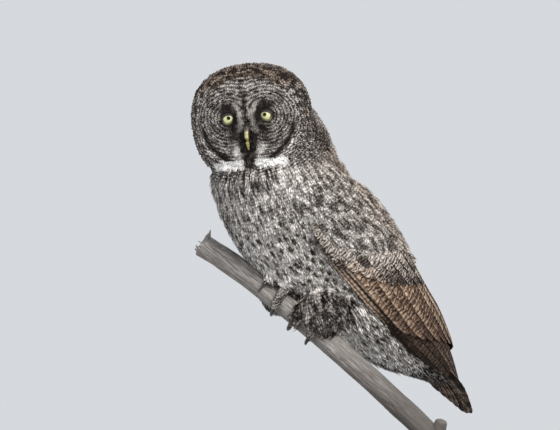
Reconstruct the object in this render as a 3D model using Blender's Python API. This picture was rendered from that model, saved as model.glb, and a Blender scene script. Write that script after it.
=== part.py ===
"""A life-size great grey owl on a cut length of dead branch, on a plain display stand.

Metres, +Z up. The origin is at the middle of the base's underside, and the pose is seen from -Y.
"""

import math
import random

import bmesh
import bpy
import numpy as np
from mathutils import Matrix, Vector

COLLECTION = "great_grey_owl"
CUTTERS = "cutters"
GAP = 0.0003
UP = Vector((0.0, 0.0, 1.0))

# The trunk: the point under its middle, and how far it faces to its right of the viewer.
PERCH = Vector((-0.101, 0.0, 0.303))
BODY_TURN = math.radians(55)
BACK = Vector((math.sin(BODY_TURN), math.cos(BODY_TURN), 0.0))
LEFT = Vector((math.cos(BODY_TURN), -math.sin(BODY_TURN), 0.0))

# Trunk sections from inside the head to the tail's root: how far back and up from PERCH, half width, half depth.
TRUNK = (
    (-0.0360, 0.268, 0.038, 0.038),
    (-0.0180, 0.236, 0.062, 0.064),
    (-0.0065, 0.198, 0.084, 0.0795),
    (-0.0045, 0.159, 0.096, 0.0945),
    (0.0120, 0.126, 0.098, 0.094),
    (0.036, 0.094, 0.098, 0.094),
    (0.074, 0.060, 0.100, 0.094),
    (0.110, 0.024, 0.095, 0.088),
    (0.146, -0.012, 0.085, 0.078),
    (0.183, -0.046, 0.071, 0.065),
    (0.218, -0.076, 0.055, 0.048),
    (0.250, -0.102, 0.040, 0.030),
    (0.276, -0.124, 0.026, 0.012),
)
TRUNK_SIDES = 22
TRUNK_STEPS = 20
NECK_CUT = 0.27
TAIL_CUT = 0.872

# The folded wings' surface, from the shoulder to the wing tips: back, up, half width, half depth.
WING = (
    (-0.028, 0.200, 0.076, 0.080),
    (-0.0065, 0.158, 0.104, 0.0965),
    (0.0125, 0.126, 0.110, 0.0965),
    (0.038, 0.094, 0.112, 0.102),
    (0.074, 0.060, 0.110, 0.103),
    (0.110, 0.024, 0.105, 0.098),
    (0.146, -0.012, 0.096, 0.089),
    (0.183, -0.046, 0.083, 0.079),
    (0.218, -0.076, 0.069, 0.070),
    (0.250, -0.102, 0.054, 0.054),
    (0.276, -0.124, 0.040, 0.034),
    (0.300, -0.146, 0.026, 0.018),
    (0.318, -0.164, 0.014, 0.008),
)
WING_THICKNESS = 0.012
WING_CORE_SINK = 0.0022
WING_CORE_END = (0.40, 0.58)
WING_CORE_ROWS = 8
WING_CORE_COLUMNS = 7

# Wing feathers: tips as (place along, angle) or lines of (angle, place along), angles in degrees.
VANE_THICKNESS = 0.0008
FEATHER_PROFILE = ((0.0, 0.75), (0.5, 1.0), (0.87, 0.86), (1.0, 0.32))
PRIMARY_STATIONS = (0.30, 0.42, 0.56, 0.69, 0.80, 0.89)
PRIMARY_PROFILE = ((0.0, 0.6), (0.2, 1.0), (0.7, 1.0), (0.9, 0.8), (1.0, 0.28))
LOCK_PROFILE = ((0.0, 0.8), (0.45, 1.0), (0.8, 0.62), (1.0, 0.12))
PRIMARY_START = 0.30
PRIMARY_HALF_WIDTH = 0.0085
PRIMARY_LOWEST = -0.0082
PRIMARY_STEP = 0.0016
PRIMARY_ROOTS = (61.5, 64.5, 68.0, 72.0)
PRIMARY_TIPS = ((0.74, 68.0), (0.86, 73.0), (0.945, 84.0), (0.985, 101.0))
SECONDARY_ANGLES = (74, 83, 93, 104, 116, 130, 145, 160)
SECONDARY_TIPS = ((63, 0.53), (73, 0.59), (85, 0.65), (116, 0.75), (150, 0.81), (172, 0.83))
GREATER_COVERT_TIPS = ((60, 0.32), (70, 0.36), (82, 0.43), (94, 0.475), (120, 0.54), (150, 0.60), (172, 0.63))
COVERT_ROW_STEP = 0.10
COVERT_ROWS = (
    (0.14, 0.0120, (71, 83, 96, 110, 125, 141)),
    (0.13, 0.0130, (77, 92, 108, 125, 142)),
    (0.12, 0.0140, (86, 105, 125)),
)
RECTRIX_TIPS = (1.0, 0.95, 0.87, 0.79, 0.71, 0.62)
RECTRIX_SPREAD = 0.0052
RECTRIX_STEP = 0.0011
# Plumes under the body: place along, length, half width, and angles from the belly's middle line.
VENT_ROWS = (
    (0.60, 0.10, 0.0110, (-40, -14, 14, 40)),
    (0.69, 0.10, 0.0105, (-27, 0, 27, 50)),
    (0.78, 0.11, 0.0095, (-40, -14, 14, 40)),
)
# Where each wing's lower and upper edges run: how far along, and the angles from the belly.
WING_EDGES = (
    (0.04, 74, 96),
    (0.12, 67, 118),
    (0.23, 63, 140),
    (0.33, 61, 160),
    (0.45, 61, 174),
    (0.60, 65, 176),
    (0.75, 68, 176),
    (0.90, 78, 176),
    (0.985, 95, 170),
)

# The tail's middle line, back and up, and the half width and half thickness that its feathers fill.
TAIL = (
    (0.236, -0.086, 0.036, 0.010),
    (0.262, -0.106, 0.040, 0.008),
    (0.287, -0.130, 0.042, 0.007),
    (0.308, -0.152, 0.040, 0.0065),
    (0.324, -0.172, 0.034, 0.0060),
    (0.3366, -0.189, 0.024, 0.0055),
)
# The head: its middle from PERCH, its half sizes, and how it is turned, tilted and nodded.
HEAD_FORWARD = 0.046
HEAD_UP = 0.241
HEAD_HALF_WIDTH = 0.085
HEAD_HALF_UP = 0.075
HEAD_HALF_DOWN = 0.093
HEAD_HALF_FRONT = 0.050
HEAD_HALF_BACK = 0.070
HEAD_SQUARENESS = 2.35
HEAD_YAW = math.radians(10)
HEAD_ROLL = math.radians(5.5)
HEAD_NOD = math.radians(3)
HEAD_SIDES = 32
FACE_RINGS = 12
NAPE_RINGS = 5
# The plane that parts head from neck: its place from PERCH, and how it rises towards the back.
HEAD_CUT_BACK = -0.046
HEAD_CUT_UP = 0.184
HEAD_CUT_RISE = math.radians(18)

# The face, in the head's own axes: across from its middle line, and up from the eyes' level.
EYE_ACROSS = 0.0275
EYE_UP = 0.001
EYE_RADIUS = 0.0105
EYE_AHEAD = 0.0350
LID_THICKNESS = 0.0014
LID_HALF_WIDTH = 0.0082
LID_RISE = 0.0048
LID_FALL = 0.0066
SOCKET_DEPTH = 0.006
SOCKET_RADIUS = 0.015
DISC_RADIUS = 0.062
DISC_DEPTH = 0.004
RIM_WIDTH = 0.007
RIM_HEIGHT = 0.0045
BROW_HEIGHT = 0.009
BROW_WIDTH = 0.010
CHIN_HEIGHT = 0.006
CHIN_DROP = 0.054

# Bill halves along their middle line: ahead, up, half width, half depth.
UPPER_BILL = (
    (0.038, -0.006, 0.0066, 0.0076),
    (0.049, -0.013, 0.0057, 0.0070),
    (0.0560, -0.021, 0.0046, 0.0060),
    (0.0585, -0.030, 0.0036, 0.0046),
    (0.0575, -0.038, 0.0025, 0.0030),
    (0.0545, -0.0450, 0.0007, 0.0009),
)
LOWER_BILL = (
    (0.036, -0.025, 0.0056, 0.0042),
    (0.0455, -0.0310, 0.0046, 0.0038),
    (0.0510, -0.0370, 0.0032, 0.0028),
    (0.0530, -0.0410, 0.0012, 0.0012),
)
BILL_SIDES = 8
BILL_STEPS = 7
NOSTRIL_RADIUS = 0.0012
NOSTRIL_PLACE = (0.0044, 0.0530, -0.0130)

# The branch: points on its middle line, from the broken end down to the cut end.
BRANCH = (
    (-0.211, 0.030, 0.3620),
    (-0.155, 0.015, 0.3260),
    (-0.082, -0.005, 0.2680),
    (-0.006, -0.025, 0.2040),
    (0.071, -0.046, 0.1345),
    (0.130, -0.062, 0.0780),
)
BRANCH_LENGTH = sum((Vector(b) - Vector(a)).length for a, b in zip(BRANCH, BRANCH[1:]))
BRANCH_RADIUS = 0.0163
BRANCH_SIDES = 14
BRANCH_STEPS = 18
STUB_AT = 0.945
STUB_LENGTH = 0.030
STUB_RADII = (0.013, 0.0105, 0.0095, 0.0085)
SPLINTER_RADII = (0.0055, 0.0042, 0.0024, 0.0008)
SPLINTER_RISE = 0.013
KNOB_HEIGHT = 0.0004

# Feet: where each grips along the branch, from 0 to 1, and how far its front toes reach round it.
FOOT_AT = {"left": 0.459, "right": 0.329}
UPPER_FRONT_REACH = {"left": math.radians(126), "right": math.radians(52)}
LOWER_FRONT_REACH = math.radians(120)
REAR_REACH = math.radians(96)
TOE_RADIUS = 0.0088
TOE_SPREAD = 0.030
TOE_STEPS = 4
TALON_STEPS = 5
PAD_RADIUS = 0.013
TALON_LENGTH = 0.023
TALON_RADIUS = 0.0036
TALON_ARCH = 0.0030

# The feathered legs: the middle of each, and half its length along the branch, its depth and its height.
LEGS = {
    "left": ((-0.041, -0.023, 0.264), (0.038, 0.025, 0.033)),
    "right": ((-0.102, 0.028, 0.300), (0.030, 0.022, 0.026)),
}

# The stand.
BASE_RADIUS = 0.135
BASE_THICKNESS = 0.018
BASE_BEVEL = 0.003
ROD_RADIUS = 0.005
ROD_FOOT_RADIUS = 0.014
ROD_FOOT_HEIGHT = 0.006
ROD_AT = 0.875

PLUMAGE_GREY = (0.33, 0.32, 0.31)
FACE_GREY = (0.28, 0.28, 0.28)
FLIGHT_BROWN = (0.22, 0.17, 0.14)
IRIS_YELLOW = (0.78, 0.72, 0.20)
BILL_YELLOW = (0.58, 0.56, 0.28)
TALON_BLACK = (0.03, 0.03, 0.03)
BARK_GREY = (0.30, 0.28, 0.26)
BASE_BLACK = (0.03, 0.03, 0.032)
STEEL = (0.55, 0.55, 0.56)


def material(name, colour, roughness=0.85, metallic=0.0):
    made = bpy.data.materials.new(name)
    made.use_nodes = True
    shader = made.node_tree.nodes["Principled BSDF"]
    shader.inputs["Base Color"].default_value = (*colour, 1.0)
    shader.inputs["Roughness"].default_value = roughness
    shader.inputs["Metallic"].default_value = metallic
    made.diffuse_color = (*colour, 1.0)
    return made


def blend_rows(rows, t):
    """The values at t, from 0 to 1, on a smooth curve through rows of values."""
    x = t * (len(rows) - 1)
    i = min(max(int(x), 0), len(rows) - 2)
    before, start, end, after = (
        np.array(rows[min(max(j, 0), len(rows) - 1)], float) for j in range(i - 1, i + 3)
    )
    x -= i
    bend = 2 * before - 5 * start + 4 * end - after
    twist = 3 * (start - end) + after - before
    return (start + 0.5 * x * (end - before + x * (bend + x * twist))).tolist()


# Mesh tools


def add_object(name, mesh, finish):
    made = bpy.data.objects.new(name, mesh)
    if finish:
        mesh.materials.append(finish)
    bpy.data.collections[COLLECTION if finish else CUTTERS].objects.link(made)
    return made


def face_outwards(mesh):
    shape = bmesh.new()
    shape.from_mesh(mesh)
    bmesh.ops.recalc_face_normals(shape, faces=shape.faces)
    if shape.calc_volume(signed=True) < 0:
        bmesh.ops.reverse_faces(shape, faces=shape.faces)
    shape.to_mesh(mesh)
    shape.free()


def loft(name, rings, finish=None):
    """A closed solid through rings of like point counts, each end closed by a fan."""
    count = len(rings[0])
    points = [tuple(p) for ring in rings for p in ring]
    faces = []
    for r in range(len(rings) - 1):
        for i in range(count):
            a = r * count + i
            b = r * count + (i + 1) % count
            faces.append((a, b, b + count))
            faces.append((a, b + count, a + count))
    for ring in (0, len(rings) - 1):
        centre = len(points)
        points.append(tuple(sum((Vector(p) for p in rings[ring]), Vector()) / count))
        faces += [(centre, ring * count + i, ring * count + (i + 1) % count) for i in range(count)]
    mesh = bpy.data.meshes.new(name)
    mesh.from_pydata(points, [], faces)
    face_outwards(mesh)
    return add_object(name, mesh, finish)


def tube(name, middle_line, radii, sides, side_hint, finish=None):
    """A round-sectioned solid along a list of points; each radius is a number or (across, along the hint)."""
    rings = []
    for i, point in enumerate(middle_line):
        before = middle_line[max(i - 1, 0)]
        after = middle_line[min(i + 1, len(middle_line) - 1)]
        along = (after - before).normalized()
        across = along.cross(side_hint).normalized()
        high = across.cross(along)
        wide, deep = radii[i] if isinstance(radii[i], tuple) else (radii[i], radii[i])
        rings.append(
            [
                point + wide * math.cos(a) * across + deep * math.sin(a) * high
                for a in (2 * math.pi * k / sides for k in range(sides))
            ]
        )
    return loft(name, rings, finish)


def extend(points, distance):
    """Moves a line's two end points outwards along it."""
    points[0] -= distance * (points[1] - points[0]).normalized()
    points[-1] += distance * (points[-1] - points[-2]).normalized()


def ball(name, centre, radius, segments=20, rings=12, axis=UP, finish=None):
    mesh = bpy.data.meshes.new(name)
    shape = bmesh.new()
    bmesh.ops.create_uvsphere(shape, u_segments=segments, v_segments=rings, radius=radius)
    turn = Vector(axis).to_track_quat("Z", "Y").to_matrix().to_4x4()
    shape.transform(Matrix.Translation(centre) @ turn)
    shape.to_mesh(mesh)
    shape.free()
    face_outwards(mesh)
    return add_object(name, mesh, finish)


def bake_modifiers(obj):
    """Applies the object's modifiers."""
    graph = bpy.context.evaluated_depsgraph_get()
    mesh = bpy.data.meshes.new_from_object(obj.evaluated_get(graph))
    obj.modifiers.clear()
    obj.data = mesh


def keep_largest(obj):
    """Leaves only the largest closed surface of a mesh object."""
    shape = bmesh.new()
    shape.from_mesh(obj.data)
    shape.faces.ensure_lookup_table()
    unseen = set(shape.faces)
    shells = []
    while unseen:
        queue = [unseen.pop()]
        shell = set(queue)
        while queue:
            for edge in queue.pop().edges:
                for face in edge.link_faces:
                    if face in unseen:
                        unseen.remove(face)
                        shell.add(face)
                        queue.append(face)
        shells.append(shell)
    if len(shells) > 1:
        largest = max(shells, key=lambda shell: sum(face.calc_area() for face in shell))
        dropped = [face for shell in shells if shell is not largest for face in shell]
        bmesh.ops.delete(shape, geom=dropped, context="FACES")
        shape.to_mesh(obj.data)
    shape.free()


def combine(obj, others, operation, solver="MANIFOLD"):
    """Joins a list of solids to obj, or cuts them from it, and removes them."""
    bpy.context.view_layer.update()
    group = bpy.data.collections.new("pieces")
    for other in others:
        group.objects.link(other)
    modifier = obj.modifiers.new(operation.lower(), "BOOLEAN")
    modifier.operation = operation
    modifier.operand_type = "COLLECTION"
    modifier.collection = group
    modifier.solver = solver
    bake_modifiers(obj)
    for other in others:
        bpy.data.objects.remove(other)
    bpy.data.collections.remove(group)
    keep_largest(obj)
    return obj


def unite(obj, others):
    return combine(obj, others, "UNION")


def cut(obj, *others):
    return combine(obj, list(others), "DIFFERENCE")


# The trunk, which is parted into neck, torso and the tail's root


def body_place(back, up, left=0.0):
    return PERCH + back * BACK + up * UP + left * LEFT


def trunk_frame(t):
    """Middle of the trunk's section at t, its direction, dorsal direction, half width and half depth."""
    step = 0.01
    back, up, width, depth = blend_rows(TRUNK, t)
    before = blend_rows(TRUNK, t - step)
    after = blend_rows(TRUNK, t + step)
    run = Vector((after[0] - before[0], after[1] - before[1])).normalized()
    along = run.x * BACK + run.y * UP
    dorsal = -run.y * BACK + run.x * UP
    return body_place(back, up), along, dorsal, width, depth


def trunk_point(t, angle, lift=0.0):
    """A point on the trunk: angle 0 is the belly's middle line, pi the back's, and positive is its left side."""
    middle, _, dorsal, width, depth = trunk_frame(t)
    sideways = (width + lift) * math.sin(angle) * LEFT
    return middle + sideways - (depth + lift) * math.cos(angle) * dorsal


def trunk_solid(name, lift=0.0, finish=None):
    angles = [2 * math.pi * side / TRUNK_SIDES for side in range(TRUNK_SIDES)]
    rings = [
        [trunk_point(step / TRUNK_STEPS, angle, lift) for angle in angles]
        for step in range(TRUNK_STEPS + 1)
    ]
    return loft(name, rings, finish)


def slab(name, middle, along, near, far, size=0.5):
    """A block that fills the space between two planes square to a direction."""
    mesh = bpy.data.meshes.new(name)
    shape = bmesh.new()
    bmesh.ops.create_cube(shape, size=1.0)
    turn = along.to_track_quat("Z", "Y").to_matrix().to_4x4()
    stretch = Matrix.Diagonal((size, size, far - near, 1.0))
    shape.transform(Matrix.Translation(middle + along * (near + far) / 2) @ turn @ stretch)
    shape.to_mesh(mesh)
    shape.free()
    return add_object(name, mesh, None)


def trunk_length(name, start, end, finish, locks=()):
    """The trunk between two parting planes, each kept half a gap away."""
    made = trunk_solid(name, finish=finish)
    if locks:
        unite(made, locks)
    reach = 0.6
    for t, side in ((start, -1), (end, 1)):
        if t is None:
            continue
        middle, along = trunk_frame(t)[:2]
        near, far = (-reach, GAP / 2) if side < 0 else (-GAP / 2, reach)
        cut(made, slab("parting", middle, along, near, far, size=1.0))
    return made


# Wings and tail


def wing_point(t, angle, lift=0.0):
    """A point on the folded wings' surface; angles are the trunk's."""
    step = 0.01
    back, up, width, depth = blend_rows(WING, t)
    before = blend_rows(WING, t - step)
    after = blend_rows(WING, t + step)
    run = Vector((after[0] - before[0], after[1] - before[1])).normalized()
    dorsal = -run.y * BACK + run.x * UP
    sideways = (width + lift) * math.sin(angle) * LEFT
    return body_place(back, up) + sideways - (depth + lift) * math.cos(angle) * dorsal


def wing_edges(t):
    """The angles of a wing's lower and upper edges at t."""
    places, lows, highs = zip(*WING_EDGES)
    return math.radians(np.interp(t, places, lows)), math.radians(np.interp(t, places, highs))


def core_end(column_share):
    """How far back the wing's core reaches, from its lower edge, 0, to its upper edge, 1."""
    return WING_CORE_END[0] + (WING_CORE_END[1] - WING_CORE_END[0]) * column_share


def wing_core(name, side, finish):
    """The slab that carries a wing's feathers: smooth at the shoulder and sunk where they are rooted."""
    start = WING_EDGES[0][0]
    rings = []
    for row in range(WING_CORE_ROWS + 1):
        share = row / WING_CORE_ROWS
        outer = []
        inner = []
        for column in range(WING_CORE_COLUMNS + 1):
            f = column / WING_CORE_COLUMNS
            t = start + (core_end(f) - start) * share
            low, high = wing_edges(t)
            angle = side * (low + (high - low) * f)
            sunk = WING_CORE_SINK * min(1.0, max(0.0, (t - 0.08) / 0.14))
            deep = WING_THICKNESS * min(1.0, 0.35 + 3 * share, 0.35 + 3 * (1 - share))
            edge = min(1.0, 5 * f, 5 * (1 - f))
            outer.append(wing_point(t, angle, -sunk - 0.3 * deep * (1 - edge)))
            inner.append(wing_point(t, angle, -sunk - deep * (0.4 + 0.6 * edge)))
        rings.append(outer + inner[::-1])
    return loft(name, rings, finish)


def vane(place, half_width, lifts, tilt, thickness, profile):
    """One feather as a slab: place(f, across, lift) gives points from its root, f = 0, to its tip, f = 1."""
    rings = []
    for f, fullness in profile:
        height = lifts[0] + (lifts[1] - lifts[0]) * f
        deep = thickness * (1 - 0.3 * f)
        top = []
        bottom = []
        for side in (-1, 0, 1):
            lean = -tilt * side * min(1.0, 2 * f)
            across = half_width * fullness * side
            edge = 0.15 * deep * abs(side)
            top.append(place(f, across, height + lean - edge))
            bottom.append(place(f, across, height + lean - deep + edge))
        rings.append(top + bottom[::-1])
    return loft("vane", rings)


def wing_place(side, root, tip):
    """Where a wing feather's points lie, for root and tip given as a place along and an angle in degrees."""

    def place(f, across, lift):
        t = root[0] + (tip[0] - root[0]) * f
        angle = math.radians(root[1] + (tip[1] - root[1]) * f)
        _, _, width, depth = blend_rows(WING, t)
        radius = math.hypot(width * math.cos(angle), depth * math.sin(angle))
        return wing_point(t, side * (angle + across / radius), lift)

    return place


def tier(side, angles, tip_line, length, half_width, lifts, tilt):
    """A row of a wing's feathers whose tips lie on a line of angles and places along the wing."""
    made = []
    line_angles, line_places = zip(*tip_line)
    for angle in angles:
        t = float(np.interp(angle, line_angles, line_places))
        root = t - length if length else core_end((angle - 62) / 112) - 0.05
        place = wing_place(side, (root, angle - 1.5), (t, angle))
        made.append(vane(place, half_width, lifts, tilt, VANE_THICKNESS, FEATHER_PROFILE))
    return made


def wing_vanes(side):
    """Long primaries stacked at the lower edge, secondaries over them, and rows of coverts over those."""
    made = []
    for i, (tip, root_angle) in enumerate(zip(PRIMARY_TIPS, PRIMARY_ROOTS)):
        place = wing_place(side, (PRIMARY_START, root_angle), tip)
        height = PRIMARY_LOWEST + PRIMARY_STEP * i
        length = tip[0] - PRIMARY_START
        stations = [t - PRIMARY_START for t in PRIMARY_STATIONS if t < tip[0] - 0.05] + [length]
        profile = [(t / length, float(np.interp(t / length, *zip(*PRIMARY_PROFILE)))) for t in stations]
        made.append(vane(place, PRIMARY_HALF_WIDTH, (height, height), 0.0, 0.0006, profile))
    made += tier(side, SECONDARY_ANGLES, SECONDARY_TIPS, None, 0.0100, (-0.0028, 0.0012), 0.0013)
    shifted = GREATER_COVERT_TIPS
    for row, (length, half_width, angles) in enumerate(COVERT_ROWS):
        made += tier(side, angles, shifted, length, half_width, (-0.0034, 0.0028 - 0.0002 * row), 0.0012)
        shifted = [(angle, place - COVERT_ROW_STEP) for angle, place in shifted]
    return made


def tail_frame(s):
    back, up, width, deep = blend_rows(TAIL, s)
    before = blend_rows(TAIL, s - 0.02)
    after = blend_rows(TAIL, s + 0.02)
    run = Vector((after[0] - before[0], after[1] - before[1])).normalized()
    return back, up, width, deep, -run.y * BACK + run.x * UP


def tail_slab(name, grow=0.0, steps=10, columns=7):
    """The closed tail's outline: a slab that follows its middle line."""
    rings = []
    for step in range(steps + 1):
        back, up, width, deep, dorsal = tail_frame(step / steps)
        ring = []
        for k in range(2 * columns):
            angle = math.pi * k / columns
            side = (width + grow) * math.cos(angle)
            ring.append(body_place(back, up, side) + (deep + grow) * math.sin(angle) * dorsal)
        rings.append(ring)
    return loft(name, rings)


def tail_vanes():
    """Six feathers a side, the middle pair on top and longest."""
    made = []
    for side in (1, -1):
        for i, tip in enumerate(RECTRIX_TIPS):
            spread = side * (0.0042 + RECTRIX_SPREAD * i)

            def place(f, across, lift, tip=tip, spread=spread):
                s = 0.04 + (tip - 0.04) * f
                back, up, _, _, dorsal = tail_frame(s)
                sideways = spread * (0.55 + 0.45 * math.sin(math.pi * min(f, 0.7) / 1.4)) + across
                return body_place(back, up, sideways) + lift * dorsal

            height = 0.0034 - RECTRIX_STEP * (i + (0.5 if side < 0 else 0.0))
            made.append(vane(place, 0.0095, (height, height), 0.0, 0.0007, FEATHER_PROFILE))
    return made


def trunk_place(root, tip):
    """Where a body lock's points lie, for root and tip given as a place along and an angle in degrees."""

    def place(f, across, lift):
        t = root[0] + (tip[0] - root[0]) * f
        angle = math.radians(root[1] + (tip[1] - root[1]) * f)
        _, _, _, width, depth = trunk_frame(t)
        radius = math.hypot(width * math.cos(angle), depth * math.sin(angle))
        return trunk_point(t, angle + across / radius, lift)

    return place


def vent_locks():
    """Loose plumes of the flanks and under the tail, each row over the next."""
    rng = random.Random(11)
    made = []
    for t, length, half_width, angles in VENT_ROWS:
        for angle in angles:
            swing = rng.uniform(-3, 3)
            place = trunk_place((t, angle), (t + length * rng.uniform(0.85, 1.15), 0.94 * angle + swing))
            lifts = (-0.0025, rng.uniform(0.0030, 0.0048))
            made.append(vane(place, half_width, lifts, 0.0006, 0.0026, LOCK_PROFILE))
    return made


# The head and face

HEAD_TURN = (
    Matrix.Rotation(-HEAD_YAW, 3, "Z")
    @ Matrix.Rotation(-HEAD_ROLL, 3, "Y")
    @ Matrix.Rotation(HEAD_NOD, 3, "X")
)
HEAD_MIDDLE = body_place(-HEAD_FORWARD, HEAD_UP)


def head_place(across, ahead, up):
    return HEAD_MIDDLE + HEAD_TURN @ Vector((across, -ahead, up))


def hump(distance, width):
    return math.exp(-((distance / width) ** 2))


def face_relief(across, up):
    """How far the plumage of the face stands out from the head's smooth form."""
    eye_distance = math.hypot(abs(across) - EYE_ACROSS, up - EYE_UP)
    disc_distance = math.hypot(across, up)
    relief = -SOCKET_DEPTH * hump(eye_distance, SOCKET_RADIUS)
    relief -= DISC_DEPTH * hump(eye_distance - 0.024, 0.016)
    relief += RIM_HEIGHT * hump(disc_distance - DISC_RADIUS, RIM_WIDTH)
    brow_fade = 1 / (1 + math.exp((up - 0.030) / 0.006)) / (1 + math.exp((-0.034 - up) / 0.005))
    relief += BROW_HEIGHT * hump(across, BROW_WIDTH) * brow_fade
    relief += CHIN_HEIGHT * hump(math.hypot(across, up + CHIN_DROP), 0.014)
    return relief


def head_solid(name, lift=0.0, finish=None):
    quarter = math.pi / 2
    turns = [quarter * i / FACE_RINGS for i in range(1, FACE_RINGS + 1)]
    turns += [quarter + quarter * i / NAPE_RINGS for i in range(1, NAPE_RINGS)]
    power = HEAD_SQUARENESS
    rings = []
    for turn in turns:
        ring = []
        for side in range(HEAD_SIDES):
            angle = 2 * math.pi * side / HEAD_SIDES
            x, z = math.sin(turn) * math.cos(angle), math.sin(turn) * math.sin(angle)
            y = math.cos(turn)
            size = (abs(x) ** power + abs(z) ** power + abs(y) ** power) ** (-1 / power)
            depth = HEAD_HALF_FRONT if y > 0 else HEAD_HALF_BACK
            across = x * size * (HEAD_HALF_WIDTH + lift)
            up = z * size * ((HEAD_HALF_UP if z > 0 else HEAD_HALF_DOWN) + lift)
            ahead = y * size * (depth + lift)
            if y > 0:
                ahead += face_relief(across, up) * min(1.0, y * 4)
            ring.append(head_place(across, ahead, up))
        rings.append(ring)
    return loft(name, rings, finish)


def lid_opening(name, side):
    """The oval cutter that opens the lids in front of one eye."""
    points = []
    for ahead in (EYE_AHEAD + 0.002, EYE_AHEAD + 0.04):
        ring = []
        for k in range(20):
            angle = 2 * math.pi * k / 20
            reach = LID_RISE if math.sin(angle) > 0 else LID_FALL
            ring.append(
                head_place(
                    side * EYE_ACROSS + LID_HALF_WIDTH * math.cos(angle),
                    ahead,
                    EYE_UP + reach * math.sin(angle),
                )
            )
        points.append(ring)
    return loft(name, points)


def bill_half(name, rows, finish, grow=0.0):
    points = []
    radii = []
    for step in range(BILL_STEPS + 1):
        ahead, up, width, depth = blend_rows(rows, step / BILL_STEPS)
        points.append(head_place(0.0, ahead, up))
        radii.append((width + grow, depth + grow))
    extend(points, grow)
    return tube(name, points, radii, BILL_SIDES, head_place(0, 0, 1) - HEAD_MIDDLE, finish)


def head_cut_frame():
    """A point on the plane between head and neck, and its upward direction."""
    rise = math.cos(HEAD_CUT_RISE) * UP - math.sin(HEAD_CUT_RISE) * BACK
    return body_place(HEAD_CUT_BACK, HEAD_CUT_UP), rise


def flesh_solid(name, finish):
    """Head and trunk as one."""
    return unite(head_solid(name, finish=finish), [trunk_solid("trunk")])


def build_head(plumage, iris, horn):
    head = flesh_solid("head", plumage)
    cut(head, slab("below", *head_cut_frame(), -1.0, GAP / 2, size=2.0))
    ahead = (head_place(0, 1, 0) - HEAD_MIDDLE).normalized()
    places = {
        "left": head_place(EYE_ACROSS, EYE_AHEAD, EYE_UP),
        "right": head_place(-EYE_ACROSS, EYE_AHEAD, EYE_UP),
    }
    lids = [
        ball("lids", place, EYE_RADIUS + LID_THICKNESS, 14, 8, ahead) for place in places.values()
    ]
    unite(head, lids)
    cut(head, lid_opening("opening", 1), lid_opening("opening", -1))
    sockets = [ball("socket", place, EYE_RADIUS + GAP, 14, 8, ahead) for place in places.values()]
    cut(head, *sockets)
    upper = bill_half("bill_upper", UPPER_BILL, horn)
    lower = bill_half("bill_lower", LOWER_BILL, horn)
    cut(lower, bill_half("upper_room", UPPER_BILL, None, GAP))
    pits = [
        ball("nostril", head_place(side * NOSTRIL_PLACE[0], *NOSTRIL_PLACE[1:]), NOSTRIL_RADIUS, 8, 6)
        for side in (1, -1)
    ]
    cut(upper, *pits)
    cut(head, bill_half("bill_room", UPPER_BILL, None, GAP), bill_half("chin_room", LOWER_BILL, None, GAP))
    for side, place in places.items():
        ball(f"eye_{side}", place, EYE_RADIUS, 14, 8, ahead, iris)
    return head


# The branch and the feet that grip it


def branch_frame(s):
    """A point on the branch's middle line at s, its direction, its upper side and its near side."""
    step = 0.01
    point = Vector(blend_rows(BRANCH, s))
    along = (Vector(blend_rows(BRANCH, s + step)) - Vector(blend_rows(BRANCH, s - step))).normalized()
    near = along.cross(UP).normalized()
    high = near.cross(along).normalized()
    return point, along, high, near


def branch_point(s, angle, distance):
    """A point at a distance from the branch's middle line: angle 0 is its upper side, positive the near side."""
    point, _, high, near = branch_frame(s)
    return point + distance * (math.cos(angle) * high + math.sin(angle) * near)


def branch_solid(name, grow=0.0, finish=None):
    rng = random.Random(4)
    waves = [(rng.uniform(0, 6.28), rng.uniform(0, 6.28)) for _ in range(3)]
    rings = []
    for step in range(BRANCH_STEPS + 1):
        s = step / BRANCH_STEPS
        ring = []
        for k in range(BRANCH_SIDES):
            angle = 2 * math.pi * k / BRANCH_SIDES
            knobs = sum(
                math.sin((2 + i) * angle + a) * math.sin((9 + 6 * i) * s + b)
                for i, (a, b) in enumerate(waves)
            )
            ring.append(branch_point(s, angle, BRANCH_RADIUS + grow + KNOB_HEIGHT * knobs))
        rings.append(ring)
    made = loft(name, rings, finish)
    splinter_root = branch_point(0.012, 0.5, BRANCH_RADIUS * 0.62)
    splinter_tip = branch_point(0.0, 0.35, BRANCH_RADIUS + SPLINTER_RISE)
    along = branch_frame(0.0)[1]
    middle = [splinter_root.lerp(splinter_tip, f) + along * 0.002 for f in (0, 0.35, 0.7, 1)]
    splinter = tube("splinter", middle, [radius + grow for radius in SPLINTER_RADII], 8, along)
    point, along, high, near = branch_frame(STUB_AT)
    lean = (high + 0.25 * near - 0.35 * along).normalized()
    middle = [point + lean * STUB_LENGTH * f for f in (0.2, 0.62, 0.85, 1.0)]
    stub = tube("stub", middle, [radius + grow for radius in STUB_RADII], 10, along)
    return unite(made, [splinter, stub])


def toe_path(foot, offset, start, end, skew, distance):
    """Points that wrap round the branch, for a toe rooted beside the foot's middle."""
    points = []
    for k in range(TOE_STEPS + 1):
        f = k / TOE_STEPS
        s = FOOT_AT[foot] + (offset + skew * f) / BRANCH_LENGTH
        points.append(branch_point(s, start + (end - start) * f, distance))
    return points


def toe_table(foot):
    """Each toe of a foot: name, place along the branch at its root and its tip, and the angles it spans."""
    return (
        ("inner_front", -0.007, -TOE_SPREAD / 2, 0.1, UPPER_FRONT_REACH[foot]),
        ("outer_front", 0.007, TOE_SPREAD / 2, 0.1, LOWER_FRONT_REACH),
        ("inner_rear", -0.006, -TOE_SPREAD / 2 + 0.002, -0.1, -REAR_REACH),
        ("outer_rear", 0.006, TOE_SPREAD / 2 - 0.002, -0.1, -REAR_REACH),
    )


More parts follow.
